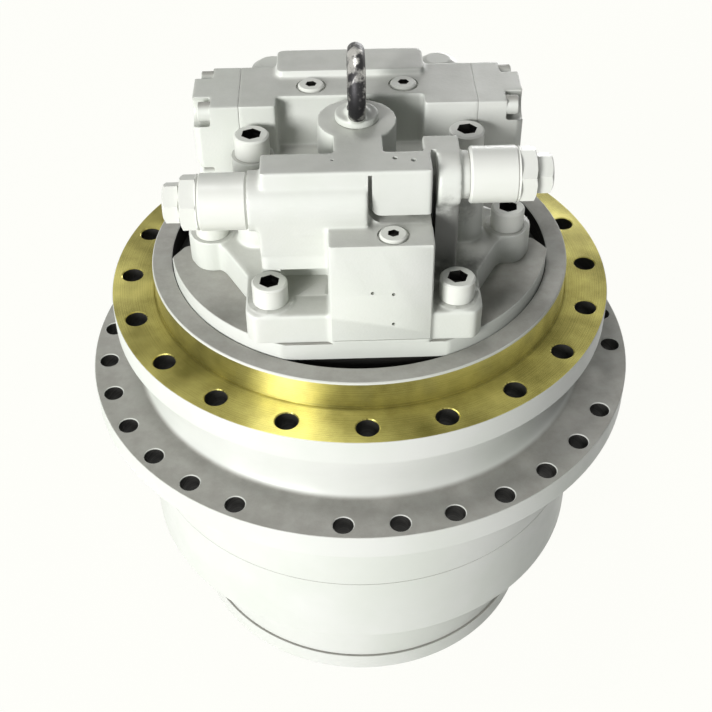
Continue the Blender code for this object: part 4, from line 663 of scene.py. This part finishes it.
# Screws: socket heads with a broken edge, forged and then painted over with what they hold.
# One tree makes every kind, at the points of a small mesh, from the sizes that it is given.
def screw_tree():
    """A head with a broken edge and a hexagon socket on a shank, at every point of a mesh.
    The socket's faces, which lie near the axis and inside the head, get their own near-black material as
    painted shade."""
    head_sides = 48
    shank_sides = 32
    tree = bpy.data.node_groups.new("socket_screws", "GeometryNodeTree")
    tree.interface.new_socket("Places", in_out="INPUT", socket_type="NodeSocketGeometry")
    for label, value in (
        ("Head Radius", 0.0165), ("Head Height", 0.021), ("Edge", 0.0015), ("Socket Radius", 0.0098),
        ("Socket Depth", 0.011), ("Shank Radius", 0.01), ("Shank Length", 0.05),
    ):
        socket = tree.interface.new_socket(label, in_out="INPUT", socket_type="NodeSocketFloat")
        socket.default_value = value
    tree.interface.new_socket("Seed", in_out="INPUT", socket_type="NodeSocketInt").default_value = 3
    for label, direction, kind in (
        ("Tilt", "INPUT", "Vector"), ("Finish", "INPUT", "Material"),
        ("Socket Shade", "INPUT", "Material"), ("Screws", "OUTPUT", "Geometry"),
    ):
        tree.interface.new_socket(label, in_out=direction, socket_type=f"NodeSocket{kind}")
    given = tree.nodes.new("NodeGroupInput").outputs
    out = tree.nodes.new("NodeGroupOutput")

    def number(operation, first, second):
        return computed(tree, operation, first, second)

    def raised(mesh, height):
        lift = put(tree, "ShaderNodeCombineXYZ", {2: height}).outputs[0]
        return put(tree, "GeometryNodeTransform", {"Geometry": mesh, "Translation": lift}).outputs[0]

    def bar(radius, depth, sides, middle):
        made = put(tree, "GeometryNodeMeshCylinder", {"Vertices": sides, "Radius": radius, "Depth": depth})
        return raised(made.outputs["Mesh"], middle)

    side_height = number("SUBTRACT", given["Head Height"], given["Edge"])
    side = bar(given["Head Radius"], side_height, head_sides, number("MULTIPLY", side_height, 0.5))
    lip = put(tree, "GeometryNodeMeshCone", {
        "Vertices": head_sides, "Radius Top": number("SUBTRACT", given["Head Radius"], given["Edge"]),
        "Radius Bottom": given["Head Radius"], "Depth": given["Edge"],
    })
    lip = raised(lip.outputs["Mesh"], side_height)
    both = put(tree, "GeometryNodeJoinGeometry")
    tree.links.new(side, both.inputs[0])
    tree.links.new(lip, both.inputs[0])
    closed = put(tree, "GeometryNodeMergeByDistance", {"Geometry": both.outputs[0], "Distance": 0.00001})
    flats = bar(
        given["Socket Radius"], number("MULTIPLY", given["Socket Depth"], 2.0), 6, given["Head Height"]
    )
    socketed = put(tree, "GeometryNodeMeshBoolean", operation="DIFFERENCE")
    tree.links.new(closed.outputs[0], socketed.inputs["Mesh 1"])
    tree.links.new(flats, socketed.inputs["Mesh 2"])
    shank = bar(
        given["Shank Radius"], given["Shank Length"], shank_sides,
        number("MULTIPLY", given["Shank Length"], -0.499)
    )
    whole = put(tree, "GeometryNodeJoinGeometry")
    tree.links.new(socketed.outputs["Mesh"], whole.inputs[0])
    tree.links.new(shank, whole.inputs[0])
    coat = put(tree, "GeometryNodeSetMaterial", {"Geometry": whole.outputs[0], "Material": given["Finish"]})
    position = put(tree, "GeometryNodeInputPosition").outputs[0]
    middle = put(tree, "ShaderNodeSeparateXYZ", {0: position}).outputs
    away = put(tree, "ShaderNodeVectorMath", {
        0: put(tree, "ShaderNodeCombineXYZ", {0: middle[0], 1: middle[1]}).outputs[0]
    }, operation="LENGTH").outputs["Value"]
    near = number("LESS_THAN", away, number("MULTIPLY", given["Socket Radius"], 0.95))
    low = number("LESS_THAN", middle[2], number("SUBTRACT", given["Head Height"], 0.0002))
    high = number("GREATER_THAN", middle[2], number("MULTIPLY", given["Head Height"], 0.1))
    within = number("MULTIPLY", number("MULTIPLY", near, low), high)
    blackened = put(tree, "GeometryNodeSetMaterial", {
        "Geometry": coat.outputs[0], "Selection": within, "Material": given["Socket Shade"],
    })
    placed = put(tree, "GeometryNodeInstanceOnPoints", {
        "Points": given["Places"], "Instance": blackened.outputs[0], "Rotation": given["Tilt"],
    })
    spin = put(tree, "FunctionNodeRandomValue", {"Seed": given["Seed"]}, data_type="FLOAT")
    spin.inputs[3].default_value = 2 * math.pi
    about = put(tree, "ShaderNodeCombineXYZ", {2: spin.outputs[1]}).outputs[0]
    spun = put(tree, "GeometryNodeRotateInstances", {
        "Instances": placed.outputs[0], "Rotation": about, "Local Space": True
    })
    real = put(tree, "GeometryNodeRealizeInstances", {"Geometry": spun.outputs[0]})
    tree.links.new(real.outputs[0], out.inputs["Screws"])
    return tree


SCREWS = screw_tree()


def screws(name, places, look, tilt=(0, 0, 0), **sizes):
    """Screws at places in millimetres. The sizes are the tree's inputs, in millimetres."""
    mesh = bpy.data.meshes.new(name)
    mesh.from_pydata([Vector(place) * MM for place in places], [], [])
    piece = bpy.data.objects.new(name, mesh)
    scene.collection.objects.link(piece)
    step = piece.modifiers.new("screws", "NODES")
    step.node_group = SCREWS
    sockets = {s.name: s.identifier for s in SCREWS.interface.items_tree if s.in_out == "INPUT"}
    for label, value in sizes.items():
        step[sockets[label.replace("_", " ").title()]] = value * MM
    step[sockets["Tilt"]] = tilt
    step[sockets["Finish"]] = look
    # The sockets are near black, as painted shade.
    step[sockets["Socket Shade"]] = shade_black
    return smoothed(plain(piece))


DOWN = (math.pi, 0, 0)
fitted(screws(
    "end_cover_screws", [(x, y, 12) for x, y in COVER_BOLTS], turned_paint, DOWN, head_radius=9.5,
    head_height=10, edge=0.8, socket_radius=5.2, socket_depth=5, shank_radius=6, shank_length=6.9,
), "hub", "grey_paint")
fitted(screws(
    "hub_screws", [(x, y, 133.9) for x, y in HUB_BOLTS], turned_paint, DOWN, head_radius=11.5,
    head_height=11, edge=0.9, socket_radius=6.6, socket_depth=6, shank_radius=8, shank_length=1,
), "hub", "grey_paint")


# Oil plugs: taper plugs of bare forged steel for filling, level and draining.
# They are screwed into the end cover, below its face, and dark from the oil on them.
def worn_metal(name, dark, light):
    """Forged steel with its scale: dark, blotched, and rubbed bright in places."""
    material, tree, shader = new_look(name)
    shader.inputs["Metallic"].default_value = 0.9
    place = put(tree, "ShaderNodeTexCoord").outputs["Object"]
    scale = noise(tree, place, 160.0, 5.0, 0.7)
    rubbed = ramp(tree, noise(tree, place, 60.0, 4.0, 0.6), 0.48, 0.64)
    tree.links.new(blended(tree, rubbed, dark, light), shader.inputs["Base Color"])
    tree.links.new(ramp(tree, rubbed, 0.0, 1.0, 0.52, 0.27), shader.inputs["Roughness"])
    bumped(tree, shader, scale, 0.0004)
    return material


worn_steel = worn_metal("worn_steel", (0.035, 0.034, 0.036, 1), (0.46, 0.45, 0.43, 1))
fitted(screws(
    "oil_plugs", [(x, y, 16) for x, y in OIL_PLUGS], worn_steel, DOWN, head_radius=14, head_height=14,
    edge=1.2, socket_radius=5.5, socket_depth=4, shank_radius=8, shank_length=0.2,
), "hub", "worn_steel", "fill_plug", "level_plug", "drain_plug")


# Motor casing: a turned casting that hangs in the spindle, with a flat milled across its front
# and its flange cut back behind the side screws. The deep gaps there are near black, as painted shade.
CASING_FOOT = 440.3
CASING_TOP = 480
CLEAR = 250
casing = turned("motor_casing_body", [
    (42.6, CASING_TOP, 1), (193.3, CASING_TOP, 1.6), (193.3, 462, 0), (191, 462, 0),
    (191, CASING_FOOT, 1.5), (136, CASING_FOOT, 1), (136, 300.3, 3), (32.6, 300.3, 1), (32.6, 308.6, 0),
    (42.6, 308.6, 0),
])
side_cut = [
    (164, 100, 0), (164, -17, 5), (177, -17, 16), (189, -36, 14), (196, -62, 0), (230, -62, 0),
    (230, 100, 0),
]
for depth, low, high in (-178, 461, 490), (-176, 430, 462):
    front_cut = [(-CLEAR, -CLEAR), (CLEAR, -CLEAR), (CLEAR, depth), (-CLEAR, depth)]
    carved(casing, [prism("front_cut", front_cut, low, high)])
carved(casing, [
    prism("side_cut", eased([(side * x, y, corner) for x, y, corner in side_cut], 6), 430, 490)
    for side in (-1, 1)
])
carved(casing, [
    bored("casing_hole", 10.5, CASING_FOOT, CASING_TOP, 0.8, at=(x, y, 0)) for x, y in COVER_SCREWS
])
shaded(casing)


def casing_finish(middle, _, normal):
    """Painted shade, near black, below the flange and on the walls of the side cuts."""
    in_side_cut = abs(middle.x) > 150 and middle.y > -40 and normal.z < 0.5
    return shade_black if middle.z < 463 or in_side_cut else turned_paint


coated_by_face(casing, [turned_paint, shade_black], casing_finish)
fitted(casing, "frame_side", "grey_paint", "motor_casing")


# Motor cover: one grey-iron casting with the base plate, the front block, the cross bar, the eye
# boss and the rear valve block. Its shells are fused and softened as sand leaves them,
# and then its seats are milled and its holes drilled, as on the real one.
MEDIUM_SIDES = 64
CAST_EDGE = 38
CAST_GRAIN = (420.0, 0.00022)
EYE_BOSS = (-2.5, -52, 0)
LEFT_VALVE = (0, -126, 605.5)
RIGHT_VALVE = (0, -110, 617)
SPOOL_BORE = (0, 13, 600)


def block(low, high, corner=3.0):
    """A box with rounded upright edges, in millimetres."""
    outline = eased([
        (high[0], low[1], corner), (high[0], high[1], corner), (low[0], high[1], corner),
        (low[0], low[1], corner),
    ])
    return prism("block", outline, low[2], high[2])


def rod(radius, low, high, at=(0, 0, 0), axis="Z", sides=MEDIUM_SIDES):
    """A plain cylinder."""
    return turned("rod", [(0, low, 0), (radius, low, 0), (radius, high, 0), (0, high, 0)], sides, axis, at)


def leaning(ends, side_view):
    """A block with the same (y, z) outline from end to end."""
    piece = prism("leaning", side_view, ends[0], ends[1])
    piece.data.transform(Matrix(((0, 0, 1, 0), (1, 0, 0, 0), (0, 1, 0, 0), (0, 0, 0, 1))))
    return piece


def casting(name, shells, voxel, passes, share):
    """Fuses closed shells, rounds their edges and corners and thins the mesh."""
    raw = merged(name, shells)
    fuse = raw.modifiers.new("fuse", "REMESH")
    fuse.mode = "VOXEL"
    fuse.voxel_size = voxel * MM
    plain(raw)
    soften = raw.modifiers.new("soften", "SMOOTH")
    soften.factor = 0.5
    soften.iterations = passes
    thin = raw.modifiers.new("thin", "DECIMATE")
    thin.ratio = share
    return plain(raw)


LOBE_X = 147
LOBE_Y = -33
LOBE_RADIUS = 23.5
lobe = []
for step in range(15):
    turn = math.radians(-95 + 11 * step)
    lobe.append((LOBE_X + LOBE_RADIUS * math.cos(turn), LOBE_Y + LOBE_RADIUS * math.sin(turn), 0))
right_edge = [
    (101, -174.6, 9), (109, -164, 9), (109, -112, 8), (135, -63, 30), *lobe, (131, -6, 12),
    (120.3, 6, 12), (120.3, 95.5, 14), (133.7, 122.2, 14), (95.5, 152.8, 14), (57.3, 152.8, 6),
]
left_edge = [(-x, y, corner) for x, y, corner in reversed(right_edge)]
TALL_SCREWS = [(-100, -48), (100, -48)]
PORTS = [(-84, 94), (84, 94)]
base_and_front = [
    prism("plate", eased(right_edge + left_edge, 6), 478, 511.5),
    block((-93, -142.5, 500), (61, 51, 590), 7),
    block((-32, -179, 478), (62, -130, 590), 5),
]
cross_bar = [
    block((-89, -142.5, 580), (61, -109, 643), 2),
    leaning((-93, -24), [(-152.6, 610), (-152.6, 600), (-143, 557), (-120, 557), (-120, 610)]),
    leaning((-60, 4.5), [(-152.6, 610), (-152.6, 600), (-149, 582), (-120, 582), (-120, 610)]),
    rod(27, -4.5, 102, LEFT_VALVE, "-X"),
]
rib = [
    block((55, -128, 500), (87, 51, 560), 2),
    block((55, -128, 540), (87, -84, 612), 2),
    block((55, -112, 600), (87, -84, 643), 2),
    rod(27, 66.5, 87, (0, -110, 616), "X"),
    rod(22, 80, 96, RIGHT_VALVE, "X"),
]
eye_boss = [rod(36.6, 560, 643, EYE_BOSS), block((-24.5, -120, 580), (19.5, -52, 643), 1)]
spool_block = [
    block((-92, -26, 500), (92, 84, 566), 7),
    block((-113.5, -26, 558), (113.5, 52, 590), 3),
    block((-113.5, -26, 558), (-77, 52, 643), 3),
    block((62, -26, 558), (113.5, 52, 643), 3),
    block((-90, -8, 558), (90, 52, 643), 3),
    block((-77, 28, 556), (65, 72, 650), 7),
]
shells = base_and_front + cross_bar + rib + eye_boss + spool_block
shells += [rod(21, 478, 514, (x, y, 0)) for x, y in COVER_SCREWS]
shells += [rod(20, 500, 607.5, (x, y, 0)) for x, y in TALL_SCREWS]
for x, y in PORTS:
    shells.append(rod(26, 558, 608.5, (x, y, 0)))
    shells.append(block((x - 20, 40, 558), (x + 20, y, 600), 2))
cover = casting("motor_cover_casting", shells, 1.7, 5, 0.55)

# Milling: the face on the casing, the block's ends, every screw's seat and the valve collars.
# The pocket under the left valve, the slit beside the rib and the groove where two cores met
# were cast, but they would close up if they were fused with the rest.
SEAT = 513
mills = [
    block((-CLEAR, -CLEAR, 440), (CLEAR, CLEAR, CASING_TOP + 0.3)),
    block((112, -40, 540), (140, 70, 660)),
    block((-140, -40, 540), (-112, 70, 660)),
    block((-70, -190, 484), (90, -178, 640)),
    rod(24, 643, 650, EYE_BOSS),
    rod(29, 101, 110, LEFT_VALVE, "-X"),
    rod(29, 95, 110, RIGHT_VALVE, "X"),
]
for x, y in COVER_SCREWS:
    if y < -100:
        mills.append(turned("seat", [
            (0, SEAT, 0), (23, SEAT, 0), (23, SEAT + 4, 0), (18.5, SEAT + 4, 0), (18.5, 541, 0), (0, 541, 0)
        ], MEDIUM_SIDES, at=(x, y, 0)))
    else:
        mills.append(rod(22.5, SEAT, 540, (x, y, 0)))
mills += [rod(22, 606, 616, (x, y, 0)) for x, y in TALL_SCREWS]
mills += [rod(28, 607, 616, (x, y, 0)) for x, y in PORTS]
PLUGS = [(26, -162, 590), (-44, 11, 643), (44, 11, 643)]
mills += [rod(14.5, z - 3, z + 6, (x, y, 0)) for x, y, z in PLUGS]
groove = prism("groove", eased([
    (4.5, 639, 0), (8, 639, 0), (8.5, 597.5, 9), (61.5, 597.5, 0), (61.5, 590.2, 0), (4.5, 590.2, 16),
], 6), 130, 165)
groove.data.transform(Matrix.Rotation(math.pi / 2, 4, "X"))
pocket = block((-76, -146, 512.2), (-32.5, -114, 541))
slit = block((61, -150, 560), (66, -108, 650), 1)
carved(cover, mills)
carved(cover, [groove])
carved(cover, [pocket, slit])

# Drilling: screw holes, bores for the valves, the spool and the ports, and small pins and marks.
drills = [rod(10.4, 478, 520, (x, y, 0), sides=SMALL_SIDES) for x, y in COVER_SCREWS]
drills += [rod(10.4, 555.7, 610, (x, y, 0), sides=SMALL_SIDES) for x, y in TALL_SCREWS]
drills += [rod(14, 583, 610, (x, y, 0), sides=SMALL_SIDES) for x, y in PORTS]
drills += [rod(9.3, z - 15.3, z, (x, y, 0), sides=SMALL_SIDES) for x, y, z in PLUGS]
drills += [rod(16, -90, -58, (x, 0, 535.5), "-Y", SMALL_SIDES) for x in (-34, 34)]
drills += [
    rod(15.4, -120, 120, SPOOL_BORE, "X"),
    rod(12.4, 67, 100, RIGHT_VALVE, "X", SMALL_SIDES),
    rod(12.4, 73, 106, LEFT_VALVE, "-X", SMALL_SIDES),
    rod(36.4, 470, 500.3),
    rod(10.4, 614.7, 646, EYE_BOSS, sides=SMALL_SIDES),
]
for x, z in ((7.1, 538.4), (26, 536.5), (26.4, 502.4)):
    drills.append(rod(1.7, -181, -174, (x, 0, z), "Y", 16))
for x, y in ((29, -121), (45, -125)):
    drills.append(rod(2.4, 634, 646, (x, y, 0), sides=16))
drills.append(rod(1.4, 638, 646, (-26, -122, 0), sides=12))
carved(cover, drills)
smoothed(cover, CAST_EDGE)
cast_paint = painted("cast_paint", GREY, *CAST_GRAIN)
cover_paint_with_shade = painted("cover_paint_with_shade", GREY, *CAST_GRAIN, 0.45)

# Painted shade: the corner behind the front block and under the right valve is darkened to near black in the
# paint's colour, most in the middle of a stretched ball with a ragged edge.
CORNER_MIDDLE = (0.0475, -0.108, 0.421)
CORNER_STRETCH = (0.55, 1.0, 0.75)
CORNER_REACH = (0.028, 0.048)
CORNER_SHARE = 0.84
SHADE_COLOUR = (0.075, 0.075, 0.068, 1)
tree = cover_paint_with_shade.node_tree
shader = tree.nodes["Principled BSDF"]
film = shader.inputs["Base Color"].links[0].from_socket
place = put(tree, "ShaderNodeTexCoord").outputs["Object"]
stretched = put(tree, "ShaderNodeVectorMath", {0: place, 1: CORNER_STRETCH}, operation="MULTIPLY")
away = put(tree, "ShaderNodeVectorMath", {
    0: stretched.outputs["Vector"], 1: CORNER_MIDDLE
}, operation="DISTANCE").outputs["Value"]
fray = ramp(tree, noise(tree, place, 70.0, 4.0, 0.6), 0.3, 0.7, -0.005, 0.005)
shade_share = ramp(tree, computed(tree, "ADD", away, fray), *CORNER_REACH, CORNER_SHARE, 0.0)
tree.links.new(blended(tree, shade_share, film, SHADE_COLOUR), shader.inputs["Base Color"])
coated(cover, cover_paint_with_shade)
fitted(cover, "frame_side", "grey_paint", "motor_cover")


# Relief valves: a turned sleeve with a hexagon at its end, and a smaller lock cap on that.
# One stands out at each side of the bar, the left one lower and further forward.
def chamfered_hexagon(name, radius, low, high, ease, axis, at):
    """A hexagon bar between low and high, with its corners turned off at the outer end."""
    bar = turned(name, [(0, low, 0), (radius, low, 0), (radius, high, 0), (0, high, 0)], 6, axis, at)
    turn = Matrix.Translation(Vector(at) * MM) @ Matrix.Rotation(math.radians(8), 4, "X")
    bar.data.transform(turn @ Matrix.Translation(-Vector(at) * MM))
    lathe = turned("lathe", [
        (0, low - 1, 0), (radius + 1, low - 1, 0), (radius + 1, high - ease, 0),
        (radius - ease * 1.4, high, 0), (0, high, 0),
    ], MEDIUM_SIDES, axis, at)
    return carved(bar, [lathe], "INTERSECT")


def fixed_fitting(piece, node):
    """Smooths a turned fitting, paints it and fixes it to the cover in place of its node."""
    shaded(piece)
    coated(piece, fitting_paint)
    fitted(piece, "frame_side", "grey_paint", node)


SLEEVE_SIDES = 96
SLEEVE_RADIUS = 25.5
for side, axis, start, at in (("left", "-X", 101, LEFT_VALVE), ("right", "X", 95, RIGHT_VALVE)):
    sleeve_end = start + 45.3
    hex_end = sleeve_end + 14
    sleeve = turned("sleeve", [
        (0, start + 0.3, 0), (23.5, start + 0.3, 0.6), (SLEEVE_RADIUS, start + 2.3, 0.6),
        (SLEEVE_RADIUS, sleeve_end - 3.2, 0.6), (24.2, sleeve_end - 2.4, 0.3),
        (24.2, sleeve_end - 1.6, 0.3), (25.3, sleeve_end - 0.8, 0.4), (24.6, sleeve_end, 0.3),
        (21, sleeve_end + 0.2, 0), (0, sleeve_end + 0.2, 0),
    ], SLEEVE_SIDES, axis, at)
    hexagon = chamfered_hexagon("hexagon", 26, sleeve_end, hex_end, 2.2, axis, at)
    stem = rod(12, start - 27.7, start + 1, at, axis, SMALL_SIDES)
    fixed_fitting(merged(f"relief_valve_body_{side}", [sleeve, hexagon, stem]), f"relief_valve_{side}")
    neck = turned("neck", [
        (0, hex_end + 0.3, 0), (16.5, hex_end + 0.3, 0.3), (16.5, hex_end + 1.8, 0), (0, hex_end + 1.8, 0)
    ], MEDIUM_SIDES, axis, at)
    nut = chamfered_hexagon("nut", 19, hex_end + 1.6, hex_end + 15.7, 3.0, axis, at)
    fixed_fitting(merged(f"relief_lock_cap_{side}", [neck, nut]), f"relief_cap_{side}")


# Spool and its end caps: a ground spool slides in the rear block, and a cast cap closes each end.
# Each cap has a round notch at its corners for the screw that holds it.
CAP_CORNERS = [(-17, 567), (43, 567), (-17, 634), (43, 634)]
dressed(lapped_steel, "counterbalance_spool")
for side, sign, axis in (("left", -1, "-X"), ("right", 1, "X")):
    plan = [(111, -26, 0), (150.3, -26, 1), (156.3, -20, 1), (156.3, 46, 1), (150.3, 52, 1), (111, 52, 0)]
    raw = prism("raw_cap", eased([(sign * x, y, corner) for x, y, corner in plan]), 558, 643)
    carved(raw, [rod(14, 139.3, 160, (0, y, z), axis, SMALL_SIDES) for y, z in CAP_CORNERS])
    cap = casting(f"spool_end_cap_casting_{side}", [raw], 1.3, 4, 0.6)
    near, far = sorted((sign * 105, sign * 112.3))
    carved(cap, [block((near, -40, 545), (far, 70, 655))])
    carved(cap, [rod(15.4, 108, 142, SPOOL_BORE, axis)])
    smoothed(cap, CAST_EDGE)
    coated(cap, cast_paint)
    fitted(cap, "frame_side", "grey_paint", f"spool_end_cap_{side}")
    fitted(screws(
        f"end_cap_screws_{side}", [(sign * 138.6, y, z) for y, z in CAP_CORNERS], turned_paint,
        (0, sign * math.pi / 2, 0), head_radius=9, head_height=12, edge=0.9, socket_radius=5.2,
        socket_depth=6, shank_radius=6, shank_length=20,
    ), "frame_side", "grey_paint")


# Cap screws: steel screws with a smooth forged head, painted with the cover. Six hold the cover
# and the casing to the spindle, and two more stand on tall bosses.
CAP_SCREW = dict(
    head_radius=16.5, head_height=21, edge=1.6, socket_radius=9.8, socket_depth=11, shank_radius=10
)
fitted(screws(
    "cover_cap_screws", [(x, y, SEAT + 0.3) for x, y in COVER_SCREWS], fitting_paint,
    **CAP_SCREW, shank_length=90,
), "frame_side", "grey_paint", "cover_screw_front_left", "cover_screw_front_right", "cover_screw_left",
    "cover_screw_right", "cover_screw_rear_left", "cover_screw_rear_right")
fitted(screws(
    "boss_cap_screws", [(x, y, 606.3) for x, y in TALL_SCREWS], fitting_paint,
    **CAP_SCREW, shank_length=50,
), "frame_side", "grey_paint", "boss_screw_left", "boss_screw_right")


# Plugs and port caps: turned steel, painted with the rest. The socket plugs are screwed into
# round sinks, and the caps close the two ports at the back.
fitted(screws(
    "socket_plugs", [(x, y, z - 2.7) for x, y, z in PLUGS], fitting_paint, head_radius=12.5, head_height=5,
    edge=1.4, socket_radius=5.5, socket_depth=4, shank_radius=9, shank_length=12,
), "frame_side", "grey_paint", "front_plug", "check_plug_left", "check_plug_right")
for side, (x, y) in zip(("left", "right"), PORTS):
    cap = turned(f"port_cap_disc_{side}", [
        (0, 626.3, 0), (12.6, 626.3, 6), (21, 620.3, 3), (21, 607.3, 1), (13, 607.3, 0), (13, 595.3, 1),
        (0, 595.3, 0),
    ], MEDIUM_SIDES, at=(x, y, 0), corner_steps=6)
    fixed_fitting(cap, f"port_cap_{side}")


# Eye bolt: forged in one with its collar and screwed into the boss. The ring is bare, dark with
# scale and rubbed bright by use, and the collar was painted with the cover.
RING_RADIUS = 28
BAR_RADIUS = 8
BAR_SIDES = 20
RING_HEIGHT = 678.9
PAINTED_TO = 654.5
section = [(RING_RADIUS + x, y, 0) for x, y in ring_of(BAR_RADIUS, BAR_SIDES)]
ring = turned("ring", section, MEDIUM_SIDES, "X", (*EYE_BOSS[:2], RING_HEIGHT))
collar = turned("collar", [
    (0, 656, 0), (9, 655, 3), (12, 650.3, 4), (20, 650.3, 2), (20, 643.3, 1), (10, 643.3, 0.5),
    (10, 615.3, 1), (0, 615.3, 0),
], MEDIUM_SIDES, at=EYE_BOSS, corner_steps=6)
bolt = casting("eye_bolt_forging", [ring, collar], 0.9, 6, 0.5)
bolt.data.shade_smooth()
coated_by_face(
    bolt, [worn_steel, cast_paint],
    lambda middle, *_: cast_paint if middle.z < PAINTED_TO else worn_steel
)
fitted(bolt, "frame_side", "worn_steel", "eye_bolt")


# Floor, light and surroundings: a plain white floor under one broad soft lamp at the front left,
# with weaker ones overhead and behind, and pale surroundings that the metal reflects.
PALE_WHITE = (1.0, 1.0, 0.955, 1)
FLOOR_GREY = (0.78, 0.78, 0.77, 1)
SKY = (0.93, 0.96, 1.0, 1)
FLOOR_GLOW = 0.97
SKY_LIGHT = 0.13
FLOOR_HALF_WIDTH = 12


def washed(tree, white, lit):
    """White for what looks at it directly or by reflection, and a lit surface for the rest."""
    path = put(tree, "ShaderNodeLightPath").outputs
    seen = computed(tree, "MAXIMUM", path["Is Camera Ray"], path["Is Glossy Ray"])
    seen = computed(tree, "MAXIMUM", seen, path["Is Transmission Ray"])
    return put(tree, "ShaderNodeMixShader", {0: seen, 1: lit, 2: white}).outputs[0]


shape = bmesh.new()
bmesh.ops.create_grid(shape, x_segments=1, y_segments=1, size=FLOOR_HALF_WIDTH)
floor = new_piece("floor", shape)
floor_look, tree, shader = new_look("floor_white")
tree.nodes.remove(shader)
matt = put(tree, "ShaderNodeBsdfDiffuse", {"Color": FLOOR_GREY}).outputs[0]
glow = put(tree, "ShaderNodeEmission", {"Color": PALE_WHITE, "Strength": 1.0}).outputs[0]
shadowed = put(tree, "ShaderNodeMixShader", {0: FLOOR_GLOW, 1: matt, 2: glow}).outputs[0]
tree.links.new(washed(tree, shadowed, matt), tree.nodes["Material Output"].inputs["Surface"])
floor.data.materials.append(floor_look)
floor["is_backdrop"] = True

world = bpy.data.worlds.new("surroundings")
scene.world = world
world.use_nodes = True
tree = world.node_tree
tree.nodes.remove(tree.nodes["Background"])
white = put(tree, "ShaderNodeBackground", {"Color": PALE_WHITE, "Strength": 1.0}).outputs[0]
dim = put(tree, "ShaderNodeBackground", {"Color": SKY, "Strength": SKY_LIGHT}).outputs[0]
tree.links.new(washed(tree, white, dim), tree.nodes["World Output"].inputs["Surface"])

for name, place, aim, size, power in (
    ("window", (-3.0, -3.95, 1.85), (0, 0, 0.35), 1.8, 345),
    ("overhead", (-0.8, 0.1, 4.2), (0, 0, 0.4), 1.0, 46),
    ("rear", (1.6, 4.6, 0.9), (0, 0, 0.4), 2.5, 150),
):
    light = bpy.data.lights.new(name, "AREA")
    light.size = size
    light.energy = power
    lamp = bpy.data.objects.new(name, light)
    scene.collection.objects.link(lamp)
    lamp.location = place
    lamp.rotation_euler = (Vector(aim) - Vector(place)).to_track_quat("-Z", "Y").to_euler()
scene.view_settings.view_transform = "Standard"


# Size: the box of all that is shown but the floor.
# The finished drive keeps the box of the solids under it.
low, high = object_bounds()
